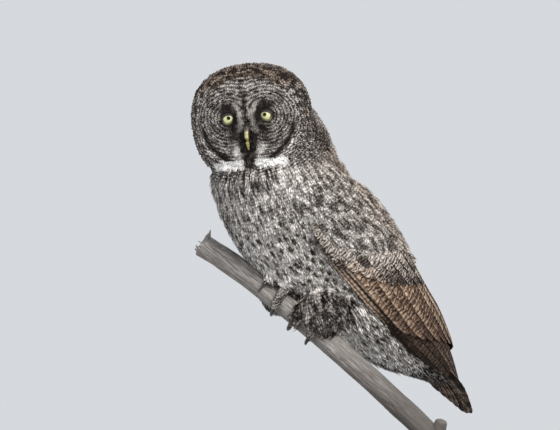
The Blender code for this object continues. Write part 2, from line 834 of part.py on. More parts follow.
def talon(name, foot, tip_at, angle, finish=None, grow=0.0):
    """A curved claw that starts at the toe's end and hooks round the branch."""
    side = 1 if angle > 0 else -1
    turn = TALON_LENGTH / (BRANCH_RADIUS + 0.004)
    points = []
    radii = []
    for k in range(TALON_STEPS + 1):
        f = k / TALON_STEPS
        sweep = angle + side * (turn * f - 0.12)
        distance = BRANCH_RADIUS + TOE_RADIUS * 0.62 + TALON_ARCH * math.sin(math.pi * f)
        points.append(branch_point(FOOT_AT[foot] + tip_at / BRANCH_LENGTH, sweep, distance))
        radii.append(TALON_RADIUS * (1 - f) ** 0.8 + 0.0004 + grow)
    extend(points, grow)
    return tube(name, points, radii, 6, branch_frame(FOOT_AT[foot])[1], finish)


def foot_solid(name, foot, finish=None, grow=0.0):
    """Two toes in front and two behind, from a pad on top of the branch."""
    toes = []
    for _, root, tip, start, end in toe_table(foot):
        path = toe_path(foot, root, start, end, tip - root, BRANCH_RADIUS + TOE_RADIUS * 0.8)
        extend(path, grow)
        swell = [1.0 + 0.10 * math.sin(2.4 * math.pi * k / TOE_STEPS) for k in range(TOE_STEPS)]
        radii = [TOE_RADIUS * size + grow for size in swell + [0.66]]
        toes.append(tube("toe", path, radii, 6, branch_frame(FOOT_AT[foot])[1]))
    pad_middle = branch_point(FOOT_AT[foot], 0.0, BRANCH_RADIUS + TOE_RADIUS * 1.1)
    return unite(ball(name, pad_middle, PAD_RADIUS + grow, 10, 8, finish=finish), toes)


def build_foot(foot, plumage, horn):
    made = foot_solid(f"foot_{foot}", foot, plumage)
    cut(made, branch_solid("branch_room", GAP))
    cut(made, trunk_solid("trunk_room", GAP))
    leg = leg_solid(f"leg_{foot}", foot, finish=plumage)
    cut(leg, trunk_solid("trunk_room", GAP))
    cut(leg, branch_solid("branch_room", GAP))
    cut(leg, foot_solid("foot_room", foot, grow=GAP))
    for name, _, tip, _, end in toe_table(foot):
        claw = talon(f"talon_{foot}_{name}", foot, tip, end, horn)
        cut(claw, branch_solid("branch_room", GAP))
        cut(made, talon("talon_room", foot, tip, end, grow=GAP))
        cut(leg, talon("talon_room", foot, tip, end, grow=GAP))


def build_stand(paint, steel):
    point = branch_frame(ROD_AT)[0]
    base = bpy.data.meshes.new("stand_base")
    shape = bmesh.new()
    ring = bmesh.ops.create_cone(
        shape, cap_ends=True, segments=48, radius1=BASE_RADIUS, radius2=BASE_RADIUS, depth=BASE_THICKNESS
    )
    bmesh.ops.translate(shape, verts=shape.verts, vec=(0, 0, BASE_THICKNESS / 2))
    top = [edge for edge in shape.edges if all(v.co.z > BASE_THICKNESS - 1e-6 for v in edge.verts)]
    rim = [edge for edge in top if len([f for f in edge.link_faces if abs(f.normal.z) < 0.5]) == 1]
    bmesh.ops.bevel(shape, geom=rim, offset=BASE_BEVEL, segments=2, affect="EDGES")
    shape.to_mesh(base)
    shape.free()
    face_outwards(base)
    add_object("stand_base", base, paint)
    low = BASE_THICKNESS + GAP
    foot_top = low + ROD_FOOT_HEIGHT
    rod_line = [Vector((point.x, point.y, z)) for z in (low, foot_top - 0.001, foot_top, point.z)]
    radii = [ROD_FOOT_RADIUS, ROD_FOOT_RADIUS, ROD_RADIUS, ROD_RADIUS]
    rod = tube("stand_rod", rod_line, radii, 24, Vector((1, 0, 0)), steel)
    cut(rod, branch_solid("branch_room", GAP))


def leg_solid(name, foot, grow=0.0, finish=None):
    """A feathered lobe of the thigh that drapes over the near side of the branch."""
    middle, half = LEGS[foot]
    shape = ball(name, Vector(), 1.0, 12, 7, finish=finish)
    along, high, near = branch_frame(FOOT_AT[foot])[1:]
    for vertex in shape.data.vertices:
        x, y, z = vertex.co
        vertex.co = (
            Vector(middle)
            + (half[0] + grow) * x * along
            + (half[1] + grow) * y * near
            + (half[2] + grow) * z * high
        )
    face_outwards(shape.data)
    return shape


def main():
    for obj in list(bpy.data.objects):
        bpy.data.objects.remove(obj)
    for name in (COLLECTION, CUTTERS):
        bpy.context.scene.collection.children.link(bpy.data.collections.new(name))
    plumage = material("plumage", PLUMAGE_GREY)
    face = material("face_plumage", FACE_GREY)
    iris = material("iris", IRIS_YELLOW, 0.1)
    horn = material("bill_horn", BILL_YELLOW, 0.4)
    black_horn = material("talon_horn", TALON_BLACK, 0.35)
    bark = material("bark", BARK_GREY, 0.9)
    black_paint = material("base_paint", BASE_BLACK, 0.45)
    steel = material("steel", STEEL, 0.3, 1.0)

    build_head(face, iris, horn)
    neck = flesh_solid("neck", plumage)
    cut(neck, slab("above", *head_cut_frame(), -GAP / 2, 1.0, size=2.0))
    cut(neck, slab("below", *trunk_frame(NECK_CUT)[:2], GAP / -2, 1.0, size=2.0))
    torso = trunk_length("torso", NECK_CUT, TAIL_CUT, plumage, vent_locks())
    cut(torso, branch_solid("branch_room", GAP))

    for name, side in (("left", 1), ("right", -1)):
        wing = wing_core(f"wing_{name}", side, plumage)
        unite(wing, wing_vanes(side))
        cut(wing, trunk_solid("trunk_room", GAP), tail_slab("tail_room", grow=GAP))
        cut(wing, head_solid("head_room", GAP))
    tail = trunk_length("tail", TAIL_CUT, None, plumage, vent_locks())
    unite(tail, tail_vanes())
    torso_room = slab("torso_room", *trunk_frame(TAIL_CUT)[:2], -0.3, GAP / 2)
    cut(tail, torso_room)

    branch_solid("perch_branch", finish=bark)
    for foot in ("left", "right"):
        build_foot(foot, plumage, black_horn)
    build_stand(black_paint, steel)


main()
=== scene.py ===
"""Looks of a life-size great grey owl on a cut length of dead branch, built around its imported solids."""

import math

import bmesh
import bpy
import numpy as np
from bpy.props import FloatProperty, FloatVectorProperty, IntProperty, PointerProperty
from mathutils import Matrix, Vector, noise
from mathutils.bvhtree import BVHTree


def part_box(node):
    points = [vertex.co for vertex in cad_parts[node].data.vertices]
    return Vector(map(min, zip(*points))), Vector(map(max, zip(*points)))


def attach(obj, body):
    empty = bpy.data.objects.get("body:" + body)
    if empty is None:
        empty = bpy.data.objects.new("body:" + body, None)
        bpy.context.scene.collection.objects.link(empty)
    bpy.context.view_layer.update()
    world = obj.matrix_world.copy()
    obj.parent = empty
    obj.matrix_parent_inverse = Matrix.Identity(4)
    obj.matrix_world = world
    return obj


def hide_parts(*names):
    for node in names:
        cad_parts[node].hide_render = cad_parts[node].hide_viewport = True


bl_info = {
    "name": "Great Grey Owl Dresser",
    "version": (1, 0, 0),
    "blender": (4, 5, 0),
    "location": "View3D > Sidebar > Owl",
    "description": "Feathers, eyes, bill, talons, branch and stand of a great grey owl model",
    "category": "Object",
}

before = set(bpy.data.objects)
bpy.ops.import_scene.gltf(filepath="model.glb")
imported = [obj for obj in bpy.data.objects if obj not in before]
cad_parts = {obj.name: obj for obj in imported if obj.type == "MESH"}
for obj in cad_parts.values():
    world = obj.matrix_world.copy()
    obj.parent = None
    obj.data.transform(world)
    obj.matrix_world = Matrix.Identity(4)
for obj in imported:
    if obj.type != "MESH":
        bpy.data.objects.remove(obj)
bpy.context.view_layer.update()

# The body's axes: the point under its middle, the way to its tail and the way to its left.
PERCH = np.array((-0.101, 0.0, 0.303))
BODY_TURN = math.radians(55)
BACK = np.array((math.sin(BODY_TURN), math.cos(BODY_TURN), 0.0))
LEFT = np.array((math.cos(BODY_TURN), -math.sin(BODY_TURN), 0.0))
UP = np.array((0.0, 0.0, 1.0))

# The folded wings' surface from the shoulder to the wing tips: back, up, half width, half depth.
WING = (
    (-0.028, 0.200, 0.076, 0.080),
    (-0.0065, 0.158, 0.104, 0.0965),
    (0.0125, 0.126, 0.110, 0.0965),
    (0.038, 0.094, 0.112, 0.102),
    (0.074, 0.060, 0.110, 0.103),
    (0.110, 0.024, 0.105, 0.098),
    (0.146, -0.012, 0.096, 0.089),
    (0.183, -0.046, 0.083, 0.079),
    (0.218, -0.076, 0.069, 0.070),
    (0.250, -0.102, 0.054, 0.054),
    (0.276, -0.124, 0.040, 0.034),
    (0.300, -0.146, 0.026, 0.018),
    (0.318, -0.164, 0.014, 0.008),
)
# Where each wing's lower and upper edges run: place along, and degrees round from the belly.
WING_EDGES = (
    (0.04, 74, 96),
    (0.12, 67, 118),
    (0.23, 63, 140),
    (0.33, 61, 160),
    (0.45, 61, 174),
    (0.60, 65, 176),
    (0.75, 68, 176),
    (0.90, 78, 176),
    (0.985, 95, 170),
)
WING_BED_END = (0.31, 0.56)
WING_BED_THICKNESS = 0.012
WING_BED_SINK = 0.0008
PLUME_STOP = 0.085
# The flesh at the tail's root, under the vent's plumes: back, up, half width, half depth.
TAIL_ROOT = (
    (0.231, -0.080, 0.054, 0.047),
    (0.253, -0.098, 0.046, 0.036),
    (0.279, -0.120, 0.034, 0.020),
    (0.296, -0.139, 0.020, 0.009),
)

# Flight feathers. Tips are (place along, degrees), tip lines (degrees, place along).
PRIMARY_START = 0.27
PRIMARY_ROOTS = (60.3, 62.4, 64.6, 67.0, 69.6, 72.5)
PRIMARY_TIPS = ((0.70, 66.0), (0.78, 71.0), (0.85, 82.0), (0.90, 98.0), (0.94, 114.0), (0.975, 128.0))
PRIMARY_HALF_WIDTH = 0.0078
PRIMARY_LIFTS = (-0.0066, -0.0056, -0.0047, -0.0038, -0.0030, -0.0022)
PALE_EDGE_END = 0.545
SECONDARY_ANGLES = (73.5, 78, 84.5, 92, 101, 111, 122, 134, 147, 160)
SECONDARY_TIPS = ((63, 0.53), (73, 0.59), (85, 0.65), (116, 0.75), (150, 0.81), (172, 0.83))
SECONDARY_HALF_WIDTH = 0.0100
GREATER_COVERT_TIPS = ((60, 0.32), (70, 0.36), (82, 0.43), (94, 0.475), (120, 0.54), (150, 0.60), (172, 0.63))
# Rows of coverts, from the lowest: how far before the greater coverts' tips, length, half width, angles.
COVERT_ROWS = (
    (0.00, 0.120, 0.0088, (65, 71, 77, 84, 91, 99, 108, 118, 129)),
    (0.045, 0.110, 0.0085, (67, 74, 81, 88, 96, 105, 115, 126)),
)
# The tail's middle line from root to tip: back, up.
TAIL = (
    (0.236, -0.086),
    (0.262, -0.106),
    (0.287, -0.130),
    (0.308, -0.152),
    (0.324, -0.172),
    (0.3366, -0.189),
)
RECTRIX_TIPS = (1.0, 0.95, 0.87, 0.79, 0.71, 0.62)

# The head's axes, and the parting between head and body.
HEAD_YAW = math.radians(10)
HEAD_ROLL = math.radians(5.5)
HEAD_NOD = math.radians(3)
HEAD_TURN = np.array(
    Matrix.Rotation(-HEAD_YAW, 3, "Z")
    @ Matrix.Rotation(-HEAD_ROLL, 3, "Y")
    @ Matrix.Rotation(HEAD_NOD, 3, "X")
)
ACROSS = HEAD_TURN @ np.array((1.0, 0.0, 0.0))
AHEAD = HEAD_TURN @ np.array((0.0, -1.0, 0.0))
HEAD_UP = HEAD_TURN @ np.array((0.0, 0.0, 1.0))
EYE_AHEAD = 0.035
HEAD_CUT = (-0.046, 0.184)
HEAD_CUT_RISE = math.radians(18)
DISC_RADIUS = 0.066

FLESH = ("head", "neck", "torso", "leg_left", "leg_right", "foot_left", "foot_right")
TALONS = tuple(name for name in sorted(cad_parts) if name.startswith("talon_"))
SKIN_VOXEL = 0.003

# The picture's frame: how many metres a pixel spans at the bird, and what stands at its middle.
METRES_PER_PIXEL = 0.00142
PICTURE_WIDTH = 560
PICTURE_MIDDLE = np.array((-0.0994, 0.0, 0.405))
CAMERA_DISTANCE = 7.0
SENSOR_WIDTH = 36.0


def box_middle(node):
    low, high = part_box(node)
    return np.array((low + high) / 2)


EYES = {side: box_middle(f"eye_{side}") for side in ("left", "right")}
EYE_RADIUS = max(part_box("eye_left")[1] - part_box("eye_left")[0]) / 2
HEAD_MIDDLE = (EYES["left"] + EYES["right"]) / 2 - EYE_AHEAD * AHEAD
EYE_ACROSS = abs((EYES["left"] - EYES["right"]) @ ACROSS) / 2


# Sizes and colours that a user may change


class OwlCoat(bpy.types.PropertyGroup):
    body_spacing: FloatProperty(
        name="Body spacing",
        description="Distance between body feathers' roots",
        default=0.0056,
        unit="LENGTH",
    )
    body_length: FloatProperty(
        name="Body feather length", description="Length of a breast feather", default=0.027, unit="LENGTH"
    )
    face_spacing: FloatProperty(
        name="Face spacing",
        description="Distance between the facial disc's feathers",
        default=0.0022,
        unit="LENGTH",
    )
    depth: FloatProperty(
        name="Coat depth", description="How deep the skin lies under the coat", default=0.006, unit="LENGTH"
    )
    seed: IntProperty(name="Seed", description="Seed of the random draws", default=7)


class OwlColours(bpy.types.PropertyGroup):
    white: FloatVectorProperty(
        name="White", description="Palest plumage", default=(0.93, 0.91, 0.89), size=3, subtype="COLOR"
    )
    light: FloatVectorProperty(
        name="Light", description="Light bars", default=(0.46, 0.435, 0.415), size=3, subtype="COLOR"
    )
    middle: FloatVectorProperty(
        name="Middle", description="Middle grey-brown", default=(0.130, 0.113, 0.104), size=3, subtype="COLOR"
    )
    dark: FloatVectorProperty(
        name="Dark", description="Dark bars", default=(0.016, 0.013, 0.012), size=3, subtype="COLOR"
    )
    iris: FloatVectorProperty(
        name="Iris", description="Yellow of the iris", default=(0.80, 0.79, 0.40), size=3, subtype="COLOR"
    )
    bill: FloatVectorProperty(
        name="Bill", description="Horn of the bill", default=(0.44, 0.40, 0.14), size=3, subtype="COLOR"
    )


class OwlStage(bpy.types.PropertyGroup):
    floor: FloatVectorProperty(
        name="Floor", description="Colour of the floor", default=(0.42, 0.43, 0.44), size=3, subtype="COLOR"
    )
    key_power: FloatProperty(name="Key light", description="Power of the main light", default=156.0)
    sky: FloatProperty(name="Surrounding light", description="Strength of the light all round", default=0.72)


# Shapes worked out from the sizes above


def unit(vectors):
    return vectors / np.maximum(np.linalg.norm(vectors, axis=-1, keepdims=True), 1e-9)


def dot(a, b):
    return np.sum(a * b, axis=-1)


def smooth_rows(rows, t):
    """Values at places t, from 0 to 1, on a smooth curve through rows of values."""
    table = np.array(rows, float)
    last = len(rows) - 1
    x = np.asarray(t, float) * last
    i = np.clip(x.astype(int), 0, last - 1)
    before, start, end, after = (table[np.clip(i + k, 0, last)] for k in (-1, 0, 1, 2))
    f = (x - i)[..., None]
    bend = 2 * before - 5 * start + 4 * end - after
    twist = 3 * (start - end) + after - before
    return start + 0.5 * f * (end - before + f * (bend + f * twist))


def body_place(back, up, left=0.0):
    """Points given in the body's own axes."""
    back, up, left = (np.asarray(value, float)[..., None] for value in (back, up, left))
    return PERCH + back * BACK + up * UP + left * LEFT


def line_frame(rows, t, step=0.01):
    """The body's middle line at t: its point, its direction and its dorsal direction."""
    here = smooth_rows(rows, t)
    run = unit(smooth_rows(rows, t + step)[..., :2] - smooth_rows(rows, t - step)[..., :2])
    along = run[..., :1] * BACK + run[..., 1:2] * UP
    dorsal = -run[..., 1:2] * BACK + run[..., :1] * UP
    return here, along, dorsal


def wing_points(t, angle, lift=0.0):
    """Points on the folded wings' surface: angle 0 is the belly's middle line, pi the back's."""
    here, _, dorsal = line_frame(WING, t)
    wide = (here[..., 2] + lift) * np.sin(angle)
    deep = (here[..., 3] + lift) * np.cos(angle)
    return body_place(here[..., 0], here[..., 1], wide) - deep[..., None] * dorsal


def wing_edges(t):
    """The degrees at which a wing's lower and upper edges run at places t."""
    places, lows, highs = zip(*WING_EDGES)
    return np.interp(t, places, lows), np.interp(t, places, highs)


LINE_STEPS = 160
LINE_PLACES = np.linspace(0.0, 1.0, LINE_STEPS)
LINE_POINTS = body_place(*np.moveaxis(smooth_rows(WING, LINE_PLACES)[:, :2], -1, 0))


def body_coordinates(points):
    """Place along the body, degrees round from the belly, and side, of points on it."""
    gaps = (LINE_POINTS**2).sum(1) - 2 * points @ LINE_POINTS.T
    t = LINE_PLACES[gaps.argmin(1)]
    here, along, dorsal = line_frame(WING, t)
    out = points - body_place(here[:, 0], here[:, 1])
    degrees = np.degrees(np.arctan2(out @ LEFT, -dot(out, dorsal)))
    return t, np.abs(degrees), np.sign(degrees), along


def face_coordinates(points):
    """Across, ahead and up of points in the head's own axes, from the eyes' level."""
    out = points - HEAD_MIDDLE
    return out @ ACROSS, out @ AHEAD, out @ HEAD_UP


def above_neck(points):
    """How far above the parting between head and body points lie, negative below it."""
    rise = math.cos(HEAD_CUT_RISE) * UP - math.sin(HEAD_CUT_RISE) * BACK
    return (points - body_place(*HEAD_CUT)) @ rise


def bump(distance, width):
    """A soft bell, 1 at no distance."""
    return np.exp(-((distance / width) ** 2))


def ramp_up(value, start, span):
    """0 up to start, and 1 from a span past it."""
    return np.clip((value - start) / span, 0, 1)


def ramp_down(value, end, span):
    """1 up to a span before end, and 0 from there."""
    return np.clip((end - value) / span, 0, 1)


# Mesh tools


def add_object(name, mesh, finish):
    made = bpy.data.objects.new(name, mesh)
    if finish:
        mesh.materials.clear()
        mesh.materials.append(finish)
    bpy.context.scene.collection.objects.link(made)
    return made


def finish_piece(obj, replaced=()):
    """Makes a piece ride on the model, and hides the parts that it stands for."""
    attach(obj, "root")
    if replaced:
        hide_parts(*replaced)
    return obj


def add_values(mesh, values):
    """Gives each point of the mesh a number or a vector under each name."""
    for key, value in values.items():
        vector = value.ndim == 2
        made = mesh.attributes.new(key, "FLOAT_VECTOR" if vector else "FLOAT", "POINT")
        made.data.foreach_set("vector" if vector else "value", value.astype(np.float32).ravel())


def move_points(mesh, points):
    mesh.vertices.foreach_set("co", points.astype(np.float32).ravel())
    mesh.update()
    mesh.shade_smooth()


def mesh_from_arrays(name, points, faces, values, patch):
    """A mesh of triangles or quads, with values at its points and a bake map."""
    mesh = bpy.data.meshes.new(name)
    sides = faces.shape[1]
    mesh.vertices.add(len(points))
    mesh.vertices.foreach_set("co", points.astype(np.float32).ravel())
    mesh.loops.add(faces.size)
    mesh.loops.foreach_set("vertex_index", faces.astype(np.int32).ravel())
    mesh.polygons.add(len(faces))
    mesh.polygons.foreach_set("loop_start", np.arange(0, faces.size, sides, dtype=np.int32))
    mesh.update(calc_edges=True)
    mesh.shade_smooth()
    add_values(mesh, values)
    layer = mesh.uv_layers.new(name="OFBake")
    layer.data.foreach_set("uv", patch[faces.ravel()].astype(np.float32).ravel())
    return mesh


def evaluated_mesh(obj):
    graph = bpy.context.evaluated_depsgraph_get()
    return bpy.data.meshes.new_from_object(obj.evaluated_get(graph))


def joined_copy(name, meshes):
    """One object, not yet in the scene, that holds copies of several meshes."""
    shape = bmesh.new()
    for mesh in meshes:
        shape.from_mesh(mesh)
    made = bpy.data.meshes.new(name)
    shape.to_mesh(made)
    shape.free()
    return bpy.data.objects.new(name, made)


def remeshed(name, meshes, voxel, smoothing):
    """One even surface round several closed meshes."""
    obj = joined_copy(name, meshes)
    bpy.context.scene.collection.objects.link(obj)
    remesh = obj.modifiers.new("even", "REMESH")
    remesh.mode = "VOXEL"
    remesh.voxel_size = voxel
    relax = obj.modifiers.new("relax", "SMOOTH")
    relax.factor = 0.5
    relax.iterations = smoothing
    mesh = evaluated_mesh(obj)
    bpy.data.objects.remove(obj)
    return mesh


def read_vectors(owners, key):
    values = np.zeros(len(owners) * 3, np.float32)
    owners.foreach_get(key, values)
    return values.reshape(-1, 3).astype(float)


def read_points(mesh):
    return read_vectors(mesh.vertices, "co")


def read_normals(mesh):
    return read_vectors(mesh.vertex_normals, "vector")


def ring_faces(rings, count):
    """Quads between rings of count points, each ring closed."""
    r, i = np.meshgrid(np.arange(rings - 1), np.arange(count), indexing="ij")
    a = r * count + i
    b = r * count + (i + 1) % count
    return np.stack([a, b, b + count, a + count], -1).reshape(-1, 4)


def loft(name, rings):
    """A closed mesh through rings of like point counts."""
    rings = np.array(rings)
    steps, count = rings.shape[:2]
    shape = bmesh.new()
    verts = [shape.verts.new(point) for point in rings.reshape(-1, 3)]
    for face in ring_faces(steps, count):
        shape.faces.new([verts[i] for i in face])
    shape.faces.new(verts[:count])
    shape.faces.new(verts[-count:])
    bmesh.ops.recalc_face_normals(shape, faces=shape.faces)
    mesh = bpy.data.meshes.new(name)
    shape.to_mesh(mesh)
    shape.free()
    mesh.shade_smooth()
    return mesh


# Shared shader effects


def new_group(name, inputs, outputs):
    tree = bpy.data.node_groups.new(name, "ShaderNodeTree")
    for label, kind, value in inputs:
        socket = tree.interface.new_socket(label, in_out="INPUT", socket_type=f"NodeSocket{kind}")
        if value is not None:
            socket.default_value = value
    for label, kind in outputs:
        tree.interface.new_socket(label, in_out="OUTPUT", socket_type=f"NodeSocket{kind}")
    return tree, tree.nodes.new("NodeGroupInput"), tree.nodes.new("NodeGroupOutput")


def join(tree, value, socket):
    """Links a node's socket to another, or sets the number in its place."""
    if isinstance(value, bpy.types.NodeSocket):
        tree.links.new(value, socket)
    elif value is not None:
        socket.default_value = value


def calculate(tree, operation, a, b=None, c=None, clamp=False):
    node = tree.nodes.new("ShaderNodeMath")
    node.operation = operation
    node.use_clamp = clamp
    for value, socket in zip((a, b, c), node.inputs):
        join(tree, value, socket)
    return node.outputs[0]


def soft_step(tree, value, low, high, to_low=0.0, to_high=1.0):
    """Eases from to_low to to_high as the value goes from low to high."""
    node = tree.nodes.new("ShaderNodeMapRange")
    node.interpolation_type = "SMOOTHSTEP"
    given = {"Value": value, "From Min": low, "From Max": high, "To Min": to_low, "To Max": to_high}
    for key, number in given.items():
        join(tree, number, node.inputs[key])
    return node.outputs["Result"]


def noise_value(tree, vector, scale, detail=2.0, roughness=0.5):
    node = tree.nodes.new("ShaderNodeTexNoise")
    join(tree, vector, node.inputs["Vector"])
    node.inputs["Scale"].default_value = scale
    node.inputs["Detail"].default_value = detail
    node.inputs["Roughness"].default_value = roughness
    return node.outputs["Fac"]


def combine(tree, x, y, z):
    node = tree.nodes.new("ShaderNodeCombineXYZ")
    for value, socket in zip((x, y, z), node.inputs):
        join(tree, value, socket)
    return node.outputs[0]


def scaled(tree, vector, scale):
    node = tree.nodes.new("ShaderNodeVectorMath")
    node.operation = "MULTIPLY"
    join(tree, vector, node.inputs[0])
    join(tree, scale, node.inputs[1])
    return node.outputs[0]


def object_place(tree):
    return tree.nodes.new("ShaderNodeTexCoord").outputs["Object"]


def added(tree, a, b):
    node = tree.nodes.new("ShaderNodeVectorMath")
    join(tree, a, node.inputs[0])
    join(tree, b, node.inputs[1])
    return node.outputs[0]


# Where a colour mix node keeps its factor, its two colours and its result.
MIX_FACTOR, MIX_A, MIX_B, MIX_RESULT = 0, 6, 7, 2


def mixed(tree, factor, a, b, kind="MIX"):
    node = tree.nodes.new("ShaderNodeMix")
    node.data_type = "RGBA"
    node.blend_type = kind
    join(tree, factor, node.inputs[MIX_FACTOR])
    join(tree, a, node.inputs[MIX_A])
    join(tree, b, node.inputs[MIX_B])
    return node.outputs[MIX_RESULT]


def attribute(tree, name, vector=False):
    node = tree.nodes.new("ShaderNodeAttribute")
    node.attribute_name = name
    return node.outputs["Vector" if vector else "Fac"]


TONE_STOPS = (0.0, 0.36, 0.70, 1.0)


def tone_ramp(tree, tone, colours):
    """Turns a tone, 0 palest to 1 darkest, into plumage colours."""
    node = tree.nodes.new("ShaderNodeValToRGB")
    ramp = node.color_ramp
    ramp.interpolation = "LINEAR"
    for i, (place, colour) in enumerate(zip(TONE_STOPS, colours)):
        element = ramp.elements[i] if i < 2 else ramp.elements.new(place)
        element.position = place
        element.color = (*colour, 1.0)
    join(tree, tone, node.inputs[0])
    return node.outputs[0]


def feather_marks_group():
    """Bars, shaft streak, fringe, blotches and spots, from where on feather and bird a point lies."""
    inputs = (
        ("Tone", "Float", 0.5),
        ("Bars", "Float", 0.5),
        ("Reach", "Float", 0.0),
        ("Across", "Float", 0.0),
        ("Along", "Float", 0.5),
        ("Place", "Vector", None),
        ("Spacing", "Float", 0.004),
        ("Streak", "Float", 0.0),
        ("Fringe", "Float", 0.0),
        ("Mottle", "Float", 0.3),
        ("Waviness", "Float", 1.0),
        ("Blotches", "Vector", (110.0, 40.0, 110.0)),
        ("Spots", "Float", 0.0),
        ("Spot Cells", "Vector", (88.0, 78.0, 1.0)),
    )
    tree, given, made = new_group("Feather marks", inputs, (("Tone", "Float"), ("Height", "Float")))
    pick = {socket.name: socket for socket in given.outputs}
    spread = combine(tree, calculate(tree, "MULTIPLY", pick["Across"], 0.006), pick["Reach"], 0.0)
    here = added(tree, pick["Place"], spread)
    drift = calculate(tree, "SUBTRACT", noise_value(tree, here, 170.0, 3.0), 0.5)
    drift = calculate(tree, "MULTIPLY", drift, pick["Waviness"])
    turns = calculate(tree, "ADD", calculate(tree, "DIVIDE", pick["Reach"], pick["Spacing"]), drift)
    wave = calculate(tree, "SINE", calculate(tree, "MULTIPLY", turns, 2 * math.pi))
    bar = calculate(tree, "SUBTRACT", soft_step(tree, wave, -0.6, 0.6), 0.5)
    broken = soft_step(tree, noise_value(tree, here, 290.0, 2.0), 0.36, 0.58, 0.15, 1.25)
    bar = calculate(tree, "MULTIPLY", bar, broken)
    tone = calculate(tree, "MULTIPLY_ADD", bar, pick["Bars"], pick["Tone"])
    beside = calculate(tree, "ABSOLUTE", pick["Across"])
    streak = soft_step(tree, beside, 0.12, 0.60, 1.0, 0.0)
    streak = calculate(tree, "MULTIPLY", streak, soft_step(tree, pick["Along"], 0.3, 0.7))
    tone = calculate(tree, "MULTIPLY_ADD", streak, pick["Streak"], tone)
    fringe = calculate(tree, "MULTIPLY", soft_step(tree, pick["Along"], 0.80, 0.97), -1.0)
    tone = calculate(tree, "MULTIPLY_ADD", fringe, pick["Fringe"], tone)
    blotch = noise_value(tree, scaled(tree, pick["Place"], pick["Blotches"]), 1.0, 2.0, 0.55)
    blotch = soft_step(tree, blotch, 0.42, 0.60, -0.5, 0.5)
    tone = calculate(tree, "MULTIPLY_ADD", blotch, pick["Mottle"], tone)
    cells = tree.nodes.new("ShaderNodeTexVoronoi")
    cells.voronoi_dimensions = "2D"
    cells.inputs["Scale"].default_value = 1.0
    cells.inputs["Randomness"].default_value = 0.85
    tree.links.new(scaled(tree, pick["Place"], pick["Spot Cells"]), cells.inputs["Vector"])
    spot = soft_step(tree, cells.outputs["Distance"], 0.12, 0.40, 1.0, -0.24)
    tone = calculate(tree, "MULTIPLY_ADD", spot, pick["Spots"], tone, clamp=True)
    tree.links.new(tone, made.inputs["Tone"])
    barbs = calculate(tree, "SINE", calculate(tree, "MULTIPLY", turns, 40.0))
    height = calculate(tree, "MULTIPLY_ADD", barbs, 0.35, calculate(tree, "MULTIPLY", bar, 0.3))
    tree.links.new(height, made.inputs["Height"])
    return tree


def group_node(tree, group, values):
    node = tree.nodes.new("ShaderNodeGroup")
    node.node_tree = bpy.data.node_groups[group]
    for key, value in values.items():
        join(tree, value, node.inputs[key])
    return node


def new_material(name, roughness, metallic=0.0):
    made = bpy.data.materials.new(name)
    made.use_nodes = True
    shader = made.node_tree.nodes["Principled BSDF"]
    shader.inputs["Roughness"].default_value = roughness
    shader.inputs["Metallic"].default_value = metallic
    return made, made.node_tree, shader


def bump_normal(tree, height, shader, strength, distance):
    node = tree.nodes.new("ShaderNodeBump")
    node.inputs["Strength"].default_value = strength
    node.inputs["Distance"].default_value = distance
    join(tree, height, node.inputs["Height"])
    tree.links.new(node.outputs[0], shader.inputs["Normal"])


def warmed(tree, colour, warmth, tint):
    """Turns a grey towards brown or buff as warmth rises."""
    return mixed(tree, warmth, colour, mixed(tree, 1.0, colour, (*tint, 1.0), "MULTIPLY"))


BODY_BLOTCHES = (140.0, 70.0, 140.0)
HEAD_BLOTCHES = (130.0, 130.0, 130.0)


def plumage(name, look=None, tint=(1.16, 0.97, 0.80), colours=None):
    """Feather material: tone, bars and warmth come from the mesh, and nodes work out the pattern."""
    made, tree, shader = new_material(name, 0.82)
    settings = bpy.context.scene.owl_colours
    colours = colours or (settings.white, settings.light, settings.middle, settings.dark)
    values = {
        "Tone": attribute(tree, "tone"),
        "Bars": attribute(tree, "bars"),
        "Reach": attribute(tree, "reach"),
        "Across": attribute(tree, "across"),
        "Along": attribute(tree, "along"),
        "Place": attribute(tree, "place", True),
        **(look or {}),
    }
    marks = group_node(tree, "Feather marks", values)
    colour = tone_ramp(tree, marks.outputs["Tone"], [tuple(c) for c in colours])
    tree.links.new(warmed(tree, colour, attribute(tree, "warmth"), tint), shader.inputs["Base Color"])
    shader.inputs["Specular IOR Level"].default_value = 0.12
    bump_normal(tree, marks.outputs["Height"], shader, 0.35, 0.0003)
    return made


# The skin, and where feathers are rooted on it


